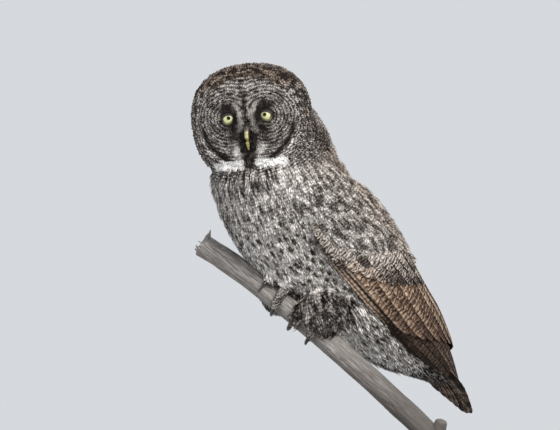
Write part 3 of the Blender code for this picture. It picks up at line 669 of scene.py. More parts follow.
class Skin:
    """The skin's triangles, with what is needed to root feathers on it and lay them along it."""

    def __init__(self, mesh):
        self.points = read_points(mesh)
        self.vertex_normals = read_normals(mesh)
        mesh.calc_loop_triangles()
        corners = np.zeros(len(mesh.loop_triangles) * 3, np.int32)
        mesh.loop_triangles.foreach_get("vertices", corners)
        self.triangles = corners.reshape(-1, 3)
        a, b, c = (self.points[self.triangles[:, k]] for k in range(3))
        cross = np.cross(b - a, c - a)
        self.areas = np.linalg.norm(cross, axis=1) / 2
        self.tree = BVHTree.FromPolygons(self.points.tolist(), self.triangles.tolist())

    def normals_at(self, triangles):
        return unit(self.vertex_normals[self.triangles[triangles]].mean(1))

    def nearest(self, points):
        near = np.empty_like(points)
        faces = np.empty(len(points), int)
        find = self.tree.find_nearest
        for i, point in enumerate(points.tolist()):
            place, _, face, _ = find(point)
            near[i] = place
            faces[i] = face
        return near, faces

    def scatter(self, spacing, rng, keep):
        """Roots about one spacing apart over the triangles where keep is true."""
        chosen = np.flatnonzero(keep)
        share = self.areas[chosen] / self.areas[chosen].sum()
        tries = int(6 * self.areas[chosen].sum() / spacing**2)
        faces = rng.choice(chosen, tries, p=share)
        u, v = rng.random((2, tries))
        folded = u + v > 1
        u[folded], v[folded] = 1 - u[folded], 1 - v[folded]
        a, b, c = (self.points[self.triangles[faces, k]] for k in range(3))
        points = a + u[:, None] * (b - a) + v[:, None] * (c - a)
        cells = np.floor(points / spacing).astype(int)
        _, first = np.unique(cells, axis=0, return_index=True)
        first = np.sort(first)
        return points[first], faces[first]

    def lay(self, roots, faces, directions, lengths, steps=3):
        """Lines from roots along the skin, with the skin's normal and the way across at each point."""
        normal = self.normals_at(faces)
        direction = unit(directions - dot(directions, normal)[:, None] * normal)
        line, normals, sides = [roots], [normal], [np.cross(normal, direction)]
        for _ in range(steps):
            target = line[-1] + direction * (lengths / steps)[:, None]
            near, found = self.nearest(target)
            normal = self.normals_at(found)
            run = near - line[-1]
            direction = unit(run - dot(run, normal)[:, None] * normal + 1e-6 * direction)
            line.append(near)
            normals.append(normal)
            sides.append(np.cross(normal, direction))
        return np.stack(line, 1), np.stack(normals, 1), np.stack(sides, 1)


def at_fraction(stations, fraction):
    """Values at fractions of the way along each row of stations."""
    last = stations.shape[1] - 1
    x = np.clip(fraction, 0, 1) * last
    i = np.clip(x.astype(int), 0, last - 1)
    rows = np.arange(len(stations))[:, None]
    f = (x - i)[..., None]
    return stations[rows, i] * (1 - f) + stations[rows, i + 1] * f


# A plume is a fan of locks. A lock has three rings of three points and a tip, at these shares of it.
LOCK_STATIONS = np.array((0.0, 0.42, 0.76, 1.0))
LOCK_WIDTHS = np.array((0.55, 1.0, 0.78))
LOCK_SPREAD = np.array((0.30, 0.85, 1.0, 1.08))
LOCK_POINTS = 10
LOCK_HALF_WIDTH = 0.70
LOCK_OVERLAP = 0.8
LOCK_CREST = 0.30
LOCK_EDGE = 0.6
LOCK_SHORTENING = 0.24
LOCK_JITTER = 0.1
REACH_JITTER = 0.07
LENGTH_RANGE = (0.86, 1.14)
LIFT_RANGE = (0.72, 1.22)
LIFT_CURVE = 0.75
EDGE_DROOP = 0.10
BAR_SHIFT = 0.004
PATCH = 0.003
TONE_CHANCE = 0.10


def lock_triangles(count):
    """The triangles of that many locks, each closed at its root and pointed at its tip."""
    lock = []
    for ring in (0, 3):
        for a, b in ((0, 1), (1, 2), (2, 0)):
            lock += [(ring + a, ring + a + 3, ring + b), (ring + b, ring + a + 3, ring + b + 3)]
    lock += [(6, 9, 7), (7, 9, 8), (8, 9, 6), (0, 1, 2)]
    lock = np.array(lock)[:, ::-1]
    return (lock[None] + LOCK_POINTS * np.arange(count)[:, None, None]).reshape(-1, 3)


def plumes(name, finish, skin, roots, faces, directions, rng, size, marks_at, bake_place):
    """Soft feathers, each a fan of tapered locks. size gives length, width, locks, lifts and splay.

    Marks are read at each point of a feather, so that the pattern runs on from one to the next.
    """
    length = size["length"] * rng.uniform(*LENGTH_RANGE, len(roots))
    line, normals, sides = skin.lay(roots, faces, directions, length)
    locks, width, low = size["locks"], size["width"], size["low"]
    count = len(roots) * locks
    owner = np.repeat(np.arange(len(roots)), locks)
    beside = np.tile(np.linspace(-1, 1, locks), len(roots)) + rng.uniform(-LOCK_JITTER, LOCK_JITTER, count)
    reach = 1 - LOCK_SHORTENING * np.abs(beside) ** 1.5 + rng.uniform(-REACH_JITTER, REACH_JITTER, count)
    beside = beside[:, None]
    along = LOCK_STATIONS[None] * reach[:, None]
    line, normals, sides = (at_fraction(values[owner], along) for values in (line, normals, sides))
    splay = rng.normal(0, size["splay"], count)[:, None] * LOCK_STATIONS[None] ** 2
    lateral = beside * width * 0.5 * LOCK_SPREAD[None] + splay
    high = np.repeat(size["high"] * rng.uniform(*LIFT_RANGE, len(roots)), locks)
    high = (high * rng.uniform(*LENGTH_RANGE, count))[:, None]
    lift = low + (high - low) * LOCK_STATIONS[None] ** LIFT_CURVE - EDGE_DROOP * width * np.abs(beside)
    middle = line + sides * lateral[..., None] + normals * lift[..., None]
    half = LOCK_HALF_WIDTH * width / (locks * LOCK_OVERLAP) * LOCK_WIDTHS[None, :, None]
    flank = sides[:, :3] * half
    ridge = normals[:, :3] * (LOCK_CREST * half)
    rings = np.stack([middle[:, :3] - flank, middle[:, :3] + ridge, middle[:, :3] + flank], 2)
    points = np.concatenate([rings.reshape(count, LOCK_POINTS - 1, 3), middle[:, 3:4]], 1).reshape(-1, 3)
    along = np.concatenate([np.repeat(along[:, :3], 3, axis=1), along[:, 3:]], 1)
    edge = np.tile((-1.0, 0.0, 1.0), 3)[None] * (LOCK_EDGE / locks)
    across = np.concatenate([beside + edge, beside], 1)
    chance = rng.random(len(roots))[owner]
    marks = marks_at(points)
    values = {"along": along.ravel(), "across": across.ravel(), "place": flow_places(points)}
    if "rings" in marks:
        values["reach"] = marks["rings"](points)
    else:
        values["reach"] = (along * length[owner, None] + BAR_SHIFT * chance[:, None]).ravel()
    for key in ("tone", "bars", "warmth"):
        values[key] = marks[key] * np.ones(len(points))
    values["tone"] = values["tone"] + np.repeat(TONE_CHANCE * (chance - 0.5), LOCK_POINTS)
    corner = np.stack([across * 0.5, along - 0.5], -1).reshape(-1, 2) * PATCH
    patch = np.repeat(bake_place[owner], LOCK_POINTS, axis=0) + corner
    return add_object(name, mesh_from_arrays(name, points, lock_triangles(count), values, patch), finish)


def unwrap_body(points):
    """Each root's place on the body's own unwrap: round it and along it."""
    t, degrees, side, _ = body_coordinates(points)
    flat = np.stack([side * degrees / 360, t], -1)
    return spread_out(flat)


def unwrap_head(points):
    """Each root's place on the head's own unwrap: how far round from the face's middle, and which way."""
    across, ahead, up = face_coordinates(points)
    turn = np.arctan2(np.hypot(across, up), ahead)
    way = np.arctan2(up, across)
    return spread_out(np.stack([turn * np.cos(way), turn * np.sin(way)], -1))


def spread_out(flat):
    """Fits flat places to the bake map's square."""
    low, high = flat.min(0), flat.max(0)
    return 0.01 + 0.98 * (flat - low) / np.maximum(high - low, 1e-6)


# Markings: how dark, how barred and how warm the plumage is at each place


GIRTH = 0.100
BODY_RUN = 0.42


def flow_places(points):
    """Flat coordinates that run round and along the body, or the head's own axes above the neck."""
    t, degrees, side, _ = body_coordinates(points)
    body = np.stack([side * np.radians(degrees) * GIRTH, BODY_RUN * t, 0 * t], -1)
    head = np.stack(face_coordinates(points), -1)
    return np.where(above_neck(points)[:, None] > 0, head, body)


def patch_at(t, degrees, middle, size):
    """A soft patch over the body, its middle and size given as (place along, degrees)."""
    return bump((t - middle[0]) / size[0], 1.0) * bump((degrees - middle[1]) / size[1], 1.0)


BODY_TONE = 0.47
BODY_BARS = 0.40
FRONT_DEGREES = 70.0
# Patches over the body: what it is, how much darker, whether on the left side only, middle and size.
BODY_PATCHES = (
    # The lower belly is paler, partly in its own colour and partly as painted sky light.
    ("pale lower belly, partly painted sky light", -0.23, True, (0.30, -5.0), (0.17, 60.0)),
    ("pale flanks", -0.24, False, (0.60, 38.0), (0.17, 40.0)),
    # Painted sunlight: the front of the left shoulder is paler where the sun falls on it.
    ("painted sunlight on the front of the shoulder", -0.30, True, (0.07, 66.0), (0.05, 14.0)),
    ("darker shoulder", 0.06, False, (0.23, 95.0), (0.09, 26.0)),
    ("dark breast streak", 0.26, True, (0.16, -14.0), (0.07, 9.0)),
    ("dark throat", 0.12, False, (0.02, 0.0), (0.05, 60.0)),
    ("dark edge of the back", 0.10, False, (0.20, 128.0), (0.25, 9.0)),
)
COVERT_ROW_DARK = 0.25
COVERT_ROW_SHIFT = 0.035
COVERT_ROW_WIDTH = 0.030


def body_marks(points):
    """Tone, bar strength and warmth over the body, belly to back and shoulder to tail."""
    t, degrees, side, _ = body_coordinates(points)
    front = bump(degrees, FRONT_DEGREES)
    tone = BODY_TONE - 0.06 * front
    bars = BODY_BARS - 0.14 * front
    for _, darker, one_side, middle, size in BODY_PATCHES:
        tone = tone + darker * patch_at(t, degrees * side if one_side else degrees, middle, size)
    # Dark mottled row where the coverts end.
    ends = np.interp(degrees, *zip(*GREATER_COVERT_TIPS))
    row = bump(t - ends + COVERT_ROW_SHIFT, COVERT_ROW_WIDTH) * ramp_up(degrees, 76, 10)
    tone = tone + COVERT_ROW_DARK * row
    warmth = 0.12 + 0.22 * bump(degrees - 128, 45.0) + 0.30 * bump(degrees - 130, 12.0)
    return {"tone": tone, "bars": bars, "warmth": warmth}


def eye_distance(points):
    """Distance from the eyes, with the rings of both running together over the forehead."""
    across, _, up = face_coordinates(points)
    left, right = (np.hypot(across - side * EYE_ACROSS, up) for side in (1, -1))
    nearer = np.minimum(left, right)
    return nearer - RING_BLEND * np.log1p(np.exp(-np.abs(left - right) / RING_BLEND))


# Painted shade on the legs and vent: their feathers darkened by a share each, and more below a height where
# the branch keeps the light off.
LEG_SHADE_HEIGHT = 0.238
LEG_SHADE_SPAN = 0.012
LEG_SHADE = 0.25
LIMB_PAINTED_SHADE = 0.46
VENT_PAINTED_SHADE = 0.15
RING_BLEND = 0.007
FACE_MARKS_DROP = 0.020
DISC_TOP = 0.057


def disc_span(across, up):
    """How far out on the facial disc a place lies, with 1 at its edge."""
    return np.hypot(across / DISC_RADIUS, up / np.where(up > 0, DISC_TOP, DISC_RADIUS))


# The head's markings, in metres across from the face's middle and up from the eyes' level.
HEAD_TONE = 0.73
HEAD_BARS = 0.52
HEAD_WARMTH = 0.06
CROWN_START = (0.034, 0.014)
EDGE_START = (0.060, 0.010)
RUFF_ACROSS = (0.022, 0.008)
RUFF_WIDTH = 0.0026
DARK_TONE = 1.08
BRACKET_TONE = 0.44
PARTING_TONE = 0.97
WHITE_TONE = -0.06
BLACK_TONE = 0.99
WHITE_LEVEL = -0.0655
WHITE_SLOPE = 0.05
WHITE_HALF_HEIGHT = 0.0068
WHITE_ACROSS = (0.007, 0.058)
# Soft ovals on both sides of the face: strength, across, up, stretch across and up, radius.
EYE_OVALS = (
    (1.495, EYE_ACROSS - 0.004, 0.0125, 1.25, 0.9, 0.0098),
    (1.1, EYE_ACROSS - 0.0100, -0.001, 1.0, 1.9, 0.0056),
    (0.80, 0.0220, -0.022, 1.0, 1.9, 0.0070),
)
EYE_RIM = (0.8, 0.0080, 0.0034)
PALE_BY_BILL = (0.08, 0.014, -0.034, 1.0, 1.0, 0.016)
WHITE_WEDGE = (0.80, 0.0165, -0.047, 1.0, 1.25, 0.0085)


def oval(wide, up, strength, across, level, stretch_across, stretch_up, radius):
    out = np.hypot((wide - across) / stretch_across, (up - level) / stretch_up)
    return strength * bump(out, radius)


def dark_by_eyes(wide, up):
    """Dark above and inside each eye, round its rim and in a streak under its inner half."""
    strength, radius, width = EYE_RIM
    rim = strength * bump(np.hypot(wide - EYE_ACROSS, up) - radius, width)
    return np.clip(sum(oval(wide, up, *row) for row in EYE_OVALS) + rim, 0, 1)


def pale_brackets(wide, up):
    """Two pale bows between the eyes, back to back."""
    bow = 0.0072 + 0.46 * np.maximum(up - 0.002, 0) + 0.22 * np.maximum(-0.006 - up, 0)
    bracket = np.clip(1.3 * bump(wide - bow, 0.0040), 0, 1)
    return bracket * ramp_up(up, -0.026, 0.008) * ramp_down(up, 0.026, 0.012)


def white_bars(wide, up):
    """White moustaches under the disc, and grey-white wedges over them."""
    off_level = np.abs(up - WHITE_LEVEL + WHITE_SLOPE * (wide - 0.02))
    white = ramp_down(off_level, WHITE_HALF_HEIGHT, 0.0020)
    white = white * ramp_up(wide, WHITE_ACROSS[0], 0.003) * ramp_down(wide, WHITE_ACROSS[1], 0.006)
    return np.clip(1.5 * white + oval(wide, up, *WHITE_WEDGE), 0, 1)


def black_chin(across, up):
    """The black chin, and the black at the bill's sides."""
    chin = bump(across, 0.0082) * ramp_down(up, -0.028, 0.008) * ramp_up(up, -0.078, 0.008)
    bill_sides = bump(np.abs(across) - 0.0060, 0.0050) * bump(up + 0.031, 0.014)
    return np.clip(1.3 * chin + 1.1 * bill_sides, 0, 1)


def head_marks(points):
    """Tone, bar strength and warmth over the head, from the face's own features."""
    across, ahead, up = face_coordinates(points)
    wide = np.abs(across)
    facing = ramp_up(ahead, 0.004, 0.012)
    out = DISC_RADIUS * disc_span(across, up)
    disc = facing / (1 + np.exp((out - DISC_RADIUS) / 0.002))
    # The brown crown and the brown edge down each side, with a paler nape between them.
    crown = (1 - disc) * ramp_up(up, *CROWN_START)
    edge = (1 - disc) * ramp_up(wide, *EDGE_START) * bump(ahead - 0.004, 0.020)
    nape = (1 - disc) * (1 - crown) * (1 - edge) * ramp_down(ahead, 0.02, 0.02)
    # The dark ruff round the disc, and the pale line outside it.
    ruff = facing * bump(out - (DISC_RADIUS + 0.0005), RUFF_WIDTH) * ramp_down(up, -0.004, 0.015)
    ruff = ruff * ramp_up(wide, *RUFF_ACROSS)
    outside = facing * bump(out - (DISC_RADIUS + 0.0065), 0.0030) * ramp_down(up, 0.010, 0.02)
    tone = HEAD_TONE + 0.19 * crown + 0.28 * edge - 0.12 * nape + 0.45 * ruff - 0.22 * outside
    tone = tone - disc * (0.03 * ramp_up(up, 0.012, 0.02) - oval(wide, up, *PALE_BY_BILL))
    bars = HEAD_BARS - 0.30 * crown - 0.4 * ruff
    warmth = HEAD_WARMTH + 0.80 * crown + 0.45 * edge
    parting = bump(across, 0.0024) * ramp_up(up, -0.020, 0.008) * ramp_down(up, 0.040, 0.02)
    pale = white_bars(wide, up) * ramp_up(ahead, -0.02, 0.012)
    # Each feature takes the tone to its own, and thins the bars by a share.
    features = (
        (dark_by_eyes(wide, up) * facing, DARK_TONE, 1.0),
        (pale_brackets(wide, up) * facing, BRACKET_TONE, 0.9),
        (parting * facing, PARTING_TONE, 1.0),
        (pale, WHITE_TONE, 0.95),
        (black_chin(across, up) * facing, BLACK_TONE, 1.0),
    )
    for share, feature_tone, thinning in features:
        tone = tone * (1 - share) + feature_tone * share
        bars = bars * (1 - thinning * share)
    return {"tone": tone, "bars": bars, "warmth": np.clip(warmth * (1 - pale), 0, 1)}


def all_marks(points):
    """The body's markings, turning to the head's where the neck begins."""
    body, head = body_marks(points), head_marks(points)
    share = np.clip((above_neck(points) + FACE_MARKS_DROP) / 0.010, 0, 1)
    return {key: body[key] * (1 - share) + head[key] * share for key in body}


def disc_marks(points):
    """As the head's, with bars that ring the eyes."""
    return {**all_marks(points), "rings": eye_distance}


def bristle_marks(points):
    """Near black all over."""
    tone = np.full(len(points), 0.97)
    return {"tone": tone, "bars": 0 * tone, "warmth": 0.1 + 0 * tone}


def shaded_marks(points, darker):
    """Painted shade: darker than the body round it by so much, and more where the branch keeps light off."""
    marks = all_marks(points)
    shade = LEG_SHADE * ramp_down(points[:, 2], LEG_SHADE_HEIGHT, LEG_SHADE_SPAN)
    return {**marks, "tone": marks["tone"] + darker + shade}


def limb_marks(points):
    return shaded_marks(points, LIMB_PAINTED_SHADE)


def vent_marks(points):
    return shaded_marks(points, VENT_PAINTED_SHADE)


def toe_marks(points):
    """Striped grey."""
    tone = np.full(len(points), 0.66)
    return {"tone": tone, "bars": 0.50 + 0 * tone, "warmth": 0.12 + 0 * tone}


# How the plumage lies


def head_lie(points):
    """Away from the nearest eye on the disc, back over the crown and down the cheeks elsewhere."""
    across, ahead, up = face_coordinates(points)
    side = np.where(across >= 0, 1.0, -1.0)
    from_eye = np.stack([across - side * EYE_ACROSS, 0 * up, up], -1)
    near_middle = bump(across, 0.013) * np.clip((up + 0.03) / 0.02, 0, 1)
    lift = np.stack([side * 0.35, np.zeros(len(points)), np.ones(len(points))], -1) * 0.03
    local = from_eye * (1 - near_middle[:, None]) + lift * near_middle[:, None]
    from_face = np.stack([across, -0.05 - 0.6 * (0.05 - ahead), up - 0.004], -1)
    facing = np.clip((ahead - 0.008) / 0.014, 0, 1)[:, None]
    facing = facing * (disc_span(across, up) < 1.0)[:, None]
    local = unit(local) * facing + unit(from_face) * (1 - facing)
    axes = np.stack([ACROSS, AHEAD, HEAD_UP])
    return local @ axes


def coat_lie(points):
    """Which way feathers lie: as on the head above the neck, and towards the tail below it."""
    _, _, _, along = body_coordinates(points)
    share = np.clip(above_neck(points) / 0.030 + 0.2, 0, 1)[:, None]
    return unit(head_lie(points) * share + (along - 0.12 * UP) * (1 - share))


# The skin and its regions, kept from one step to the next.
SKIN = {}
SKIN_DARKER = 0.12


class OWL_OT_skin(bpy.types.Operator):
    """Makes the one skin that carries the feathers, inside the flesh by the coat's depth"""

    bl_idname = "owl.skin"
    bl_label = "Skin"

    def execute(self, context):
        feather_marks_group()
        beds = [wing_bed(side) for side in (1, -1)] + [tail_root()] + [thigh(side) for side in (1, -1)]
        nodes = FLESH + tuple(f"eye_{side}" for side in EYES)
        sources = [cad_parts[node].data for node in nodes]
        mesh = remeshed("skin", sources + beds, SKIN_VOXEL, 5)
        points = read_points(mesh)
        depth = context.scene.owl_coat.depth * skin_depth_share(points)
        points = points - read_normals(mesh) * depth[:, None]
        move_points(mesh, points)
        SKIN["skin"] = Skin(mesh)
        marks = all_marks(points)
        half = np.full(len(points), 0.5)
        values = {
            "tone": marks["tone"] + SKIN_DARKER,
            "bars": marks["bars"],
            "warmth": marks["warmth"],
            "reach": BODY_RUN * body_coordinates(points)[0],
            "across": half,
            "along": half,
            "place": flow_places(points),
        }
        add_values(mesh, values)
        skin = add_object("skin", mesh, plumage("skin_down"))
        finish_piece(skin, FLESH)
        return {"FINISHED"}


FOOT_DEPTH_SHARE = 0.3


def skin_depth_share(points):
    """How much of the coat's full depth lies over the skin: least on the face, legs and feet."""
    ahead = face_coordinates(points)[1]
    on_head = np.clip(above_neck(points) / 0.02 + 0.5, 0, 1)
    face = on_head * ramp_up(ahead, 0.0, 0.015)
    share = 1 - 0.35 * on_head - 0.35 * face
    for side in ("left", "right"):
        low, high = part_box(f"foot_{side}")
        inside = np.all((points > np.array(low) - 0.002) & (points < np.array(high) + 0.002), axis=1)
        share = np.where(inside, share * FOOT_DEPTH_SHARE, share)
    return share


def wing_bed(side):
    """A smooth pad under the coverts, which gives the folded wing its shape."""
    rows, columns = 9, 9
    start = WING_EDGES[0][0]
    rings = []
    for row in range(rows + 1):
        share = row / rows
        f = np.linspace(0, 1, columns + 1)
        end = WING_BED_END[0] + (WING_BED_END[1] - WING_BED_END[0]) * f
        t = start + (end - start) * share
        low, high = wing_edges(t)
        angle = side * np.radians(low + (high - low) * f)
        deep = WING_BED_THICKNESS * min(1.0, 0.35 + 3 * share, 0.35 + 3 * (1 - share))
        edge = np.minimum(1.0, np.minimum(5 * f, 5 * (1 - f)))
        outer = wing_points(t, angle, -WING_BED_SINK * min(1.0, share * 2) - 0.3 * deep * (1 - edge))
        inner = wing_points(t, angle, -WING_BED_SINK - deep * (0.4 + 0.6 * edge))
        rings.append(np.concatenate([outer, inner[::-1]]))
    return loft("bed", rings)


def tail_root():
    """The tapered flesh that carries the plumes under the tail's root."""
    angle = np.linspace(0, 2 * math.pi, 28, endpoint=False)
    rings = []
    for step in np.linspace(0, 1, 10):
        here, _, dorsal = line_frame(TAIL_ROOT, np.array([step]))
        back, up, wide, deep = here[0]
        ring = body_place(back, up, wide * np.sin(angle)) - (deep * np.cos(angle))[:, None] * dorsal
        rings.append(ring)
    return loft("tail_root", rings)


THIGH_TOP = (0.40, 42.0, -0.014)
THIGH_RADII = (0.018, 0.027, 0.030, 0.027, 0.018)


def thigh(side):
    """The full feathering from the flank down over the leg, which hides where the leg begins."""
    low, high = (np.array(corner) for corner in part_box("leg_left" if side > 0 else "leg_right"))
    t, angle, lift = THIGH_TOP
    top = wing_points(np.array([t]), np.radians([side * angle]), lift)[0]
    low_end = (low + high) / 2
    away = unit(low_end - top)
    beside = unit(np.cross(away, BACK))
    ahead = np.cross(away, beside)
    turns = np.linspace(0, 2 * np.pi, 24, endpoint=False)
    rings = []
    for f, radius in zip(np.linspace(0, 1, len(THIGH_RADII)), THIGH_RADII):
        middle = top + (low_end - top) * f
        rings.append(middle + radius * (np.cos(turns)[:, None] * beside + np.sin(turns)[:, None] * ahead))
    return loft(f"thigh_{side}", rings)


BREAST_END = 0.13
VENT_START = 0.62
BACK_START = 100
FLANK_PLACES = (0.42, 0.66)
FLANK_DEGREES = (26, 100)
BODY_GIRTH = 0.074


def skin_regions(skin):
    """Masks over the skin's triangles for each part of the plumage."""
    middles = skin.points[skin.triangles].mean(1)
    t, degrees, _, _ = body_coordinates(middles)
    across, ahead, up = face_coordinates(middles)
    neck = above_neck(middles)
    limb = np.zeros(len(middles), bool)
    foot = np.zeros(len(middles), bool)
    here = line_frame(WING, t)[0]
    out_from_line = np.linalg.norm(middles - body_place(here[:, 0], here[:, 1]), axis=1)
    for side in ("left", "right"):
        for kind, mask in (("leg", limb), ("foot", foot)):
            low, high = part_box(f"{kind}_{side}")
            inside = np.all((middles > np.array(low) - 0.004) & (middles < np.array(high) + 0.004), axis=1)
            mask |= inside & (degrees < 90) & (out_from_line > BODY_GIRTH)
    foot &= ~limb | (middles[:, 2] < np.array(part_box("foot_left")[1])[2] - 0.01)
    limb &= ~foot
    head = neck > 0
    disc = head & (ahead > 0.006) & (disc_span(across, up) < 1.0)
    low_edge, high_edge = wing_edges(t)
    on_wing = (degrees > low_edge - 2) & (degrees < high_edge + 2) & (t > 0.05)
    body = ~head & ~limb & ~foot
    ends = np.interp(degrees, *zip(*GREATER_COVERT_TIPS))
    open_body = body & ~on_wing
    wide = np.abs(across)
    near_eye = np.hypot(wide - EYE_ACROSS, up) < LID_PALE_RADIUS
    bill = (wide < 0.0050) & (up < -0.006) & (up > -0.047) & (ahead > 0.02)
    bill_sides = (wide < 0.0095) & (up < -0.012) & (up > -0.048)
    shoulder = body & on_wing & (t < ends - PLUME_STOP)
    left = (middles - PERCH) @ LEFT > 0
    flank = open_body & (degrees > FLANK_DEGREES[0]) & (degrees < FLANK_DEGREES[1])
    flank = flank & (t > FLANK_PLACES[0]) & (t < FLANK_PLACES[1])
    front = open_body & (degrees < BACK_START)
    return {
        "disc": disc & ~near_eye & ~bill & ~bill_sides,
        "nasal": disc & ~bill & (wide < 0.0110) & (up < 0.012) & (up > -0.013),
        "bristles": disc & ~bill & (wide < 0.0100) & (up < -0.012) & (up > -0.044),
        "crown": head & ~disc & (up > 0.0),
        "cheeks": head & ~disc & (up <= 0.0),
        "breast": front & (t < BREAST_END),
        "belly": front & (t >= BREAST_END) & (t < VENT_START) & ~flank,
        "flank": flank,
        "vent": open_body & (t >= VENT_START) & ~flank,
        "mantle": open_body & (degrees >= BACK_START) & (t < VENT_START),
        "left_shoulder": shoulder & left,
        "right_shoulder": shoulder & ~left,
        "limbs": limb,
        "toes": foot,
    }


SHOULDER_LOOK = {"Streak": 0.08, "Fringe": 0.12, "Spacing": 0.0044, "Mottle": 0.50, "Waviness": 1.6}
BREAST_LOOK = {"Streak": 0.10, "Fringe": 0.12, "Spacing": 0.0050, "Mottle": 0.34, "Spots": 0.30}
BELLY_LOOK = {"Streak": 0.08, "Fringe": 0.15, "Spacing": 0.0060, "Mottle": 0.26, "Spots": 0.46}
FLANK_LOOK = {"Streak": 0.30, "Fringe": 0.25, "Spacing": 0.0110, "Mottle": 0.30, "Spots": 0.32}
MANTLE_LOOK = {"Streak": 0.10, "Fringe": 0.12, "Spacing": 0.0042, "Mottle": 0.34, "Waviness": 1.5}
LIMB_LOOK = {"Streak": 0.15, "Fringe": 0.10, "Spacing": 0.0060, "Mottle": 0.34, "Spots": 0.30}
LONG_SPOTS = {"Spot Cells": (110.0, 45.0, 1.0)}
# Body plumage by region: spacing and length as shares, width, locks, height, splay and how the marks look.
BODY_TABLE = (
    ("breast", 1.0, 1.0, 0.0120, 6, 0.0066, 0.0010, {**BREAST_LOOK, "Spot Cells": (120.0, 46.0, 1.0)}),
    ("belly", 1.0, 1.1, 0.0130, 6, 0.0075, 0.0012, BELLY_LOOK),
    ("flank", 1.0, 1.9, 0.0110, 5, 0.0120, 0.0034, {**FLANK_LOOK, **LONG_SPOTS}),
    ("vent", 1.0, 1.9, 0.0110, 5, 0.0100, 0.0034, {**FLANK_LOOK, **LONG_SPOTS, "Mottle": 0.40}),
    ("mantle", 0.9, 0.95, 0.0120, 6, 0.0065, 0.0009, MANTLE_LOOK),
    ("left_shoulder", 0.87, 0.95, 0.0120, 6, 0.0082, 0.0009, SHOULDER_LOOK),
    ("right_shoulder", 0.87, 0.95, 0.0120, 6, 0.0082, 0.0009, SHOULDER_LOOK),
    ("limbs", 0.85, 1.3, 0.0095, 5, 0.0085, 0.0022, LIMB_LOOK),
    ("toes", 0.42, 0.25, 0.0030, 2, 0.0016, 0.0005, {"Spacing": 0.0034, "Mottle": 0.3}),
)
# Head plumage by region: spacing as a share, length, width, locks, height, splay and how the marks look.
HEAD_TABLE = (
    ("disc", 1.0, 0.0085, 0.0030, 2, 0.0030, 0.0004, {"Spacing": 0.0048, "Mottle": 0.26, "Waviness": 2.1}),
    ("nasal", 0.6, 0.0150, 0.0022, 2, 0.0080, 0.0004, {"Spacing": 0.0060, "Mottle": 0.1}),
    ("bristles", 0.8, 0.0140, 0.0022, 2, 0.0070, 0.0006, {"Spacing": 0.0060, "Mottle": 0.1}),
    ("crown", 1.5, 0.0150, 0.0065, 3, 0.0045, 0.0007, {"Spacing": 0.0042, "Mottle": 0.45, "Fringe": 0.2}),
    ("cheeks", 1.5, 0.0170, 0.0065, 3, 0.0050, 0.0008, {"Spacing": 0.0044, "Mottle": 0.32, "Fringe": 0.1}),
)
REGION_MARKS = {
    "toes": toe_marks,
    "limbs": limb_marks,
    "vent": vent_marks,
    "disc": disc_marks,
    "bristles": bristle_marks,
}
# Regions whose feathers hang, and how much. Face regions that point down past the bill, and their turn to it.
HANGING = ("flank", "vent", "limbs")
HANG = 0.35
BILL_TURNS = {"nasal": 0.0, "bristles": 0.08}
LIE_SPREAD = 0.10
BODY_LOW = 0.0004
HEAD_LOW = 0.0003


def neck_fullness(points):
    """Feathers stand fuller where the head meets the body, which hides the neck."""
    return 1 + 0.35 * bump(above_neck(points), 0.016)


def rump_length(points):
    """Feathers over the rump are longer, and reach between the folded wings."""
    t, degrees, _, _ = body_coordinates(points)
    return 1 + 1.3 * ramp_up(t, 0.40, 0.14) * (degrees > 96)


def lay_region(region, row, roots, faces, lie, rng, length, low, blotches, bake_place):
    """Lays one region's feathers, with that region's finish and markings."""
    width, locks, high, splay, look = row
    size = {
        "length": length,
        "width": width,
        "locks": locks,
        "low": low,
        "high": high * neck_fullness(roots),
        "splay": splay,
    }
    finish = plumage(f"{region}_plumage", {"Blotches": blotches, **look})
    marks_at = REGION_MARKS.get(region, all_marks)
    name = f"{region}_feathers"
    piece = plumes(name, finish, SKIN["skin"], roots, faces, lie, rng, size, marks_at, bake_place)
    finish_piece(piece)


class OWL_OT_body_feathers(bpy.types.Operator):
    """Lays the breast, belly, flank, mantle, shoulder, vent and leg feathers over the skin"""

    bl_idname = "owl.body_feathers"
    bl_label = "Body feathers"

    def execute(self, context):
        skin = SKIN["skin"]
        coat = context.scene.owl_coat
        SKIN["regions"] = skin_regions(skin)
        rng = np.random.default_rng(coat.seed)
        for region, spacing, length, *row in BODY_TABLE:
            roots, faces = skin.scatter(spacing * coat.body_spacing, rng, SKIN["regions"][region])
            lie = coat_lie(roots)
            if region in HANGING:
                lie = lie - HANG * UP
            lie = lie + rng.normal(0, LIE_SPREAD, lie.shape)
            length = length * coat.body_length * rump_length(roots)
            bake_place = unwrap_body(roots)
            lay_region(region, row, roots, faces, lie, rng, length, BODY_LOW, BODY_BLOTCHES, bake_place)
        return {"FINISHED"}


class OWL_OT_head_feathers(bpy.types.Operator):
    """Lays the facial disc, the bristles by the bill, the crown and the cheeks over the skin"""

    bl_idname = "owl.head_feathers"
    bl_label = "Head feathers"

    def execute(self, context):
        skin = SKIN["skin"]
        coat = context.scene.owl_coat
        rng = np.random.default_rng(coat.seed + 1)
        for region, spacing, length, *row in HEAD_TABLE:
            roots, faces = skin.scatter(spacing * coat.face_spacing, rng, SKIN["regions"][region])
            if region in BILL_TURNS:
                side = np.sign(face_coordinates(roots)[0])[:, None]
                lie = -HEAD_UP - BILL_TURNS[region] * side * ACROSS + 0.5 * AHEAD
                lie = lie + rng.normal(0, LIE_SPREAD, lie.shape)
            else:
                lie = coat_lie(roots)
            bake_place = unwrap_head(roots)
            lay_region(region, row, roots, faces, lie, rng, length, HEAD_LOW, HEAD_BLOTCHES, bake_place)
        return {"FINISHED"}


# Flight feathers, each a cambered vane with a shaft, in tiers

VANE_STATIONS = np.array(
    (0.0, 0.06, 0.14, 0.24, 0.34, 0.44, 0.54, 0.63, 0.71, 0.78, 0.84, 0.89, 0.93, 0.965, 0.988, 1.0)
)
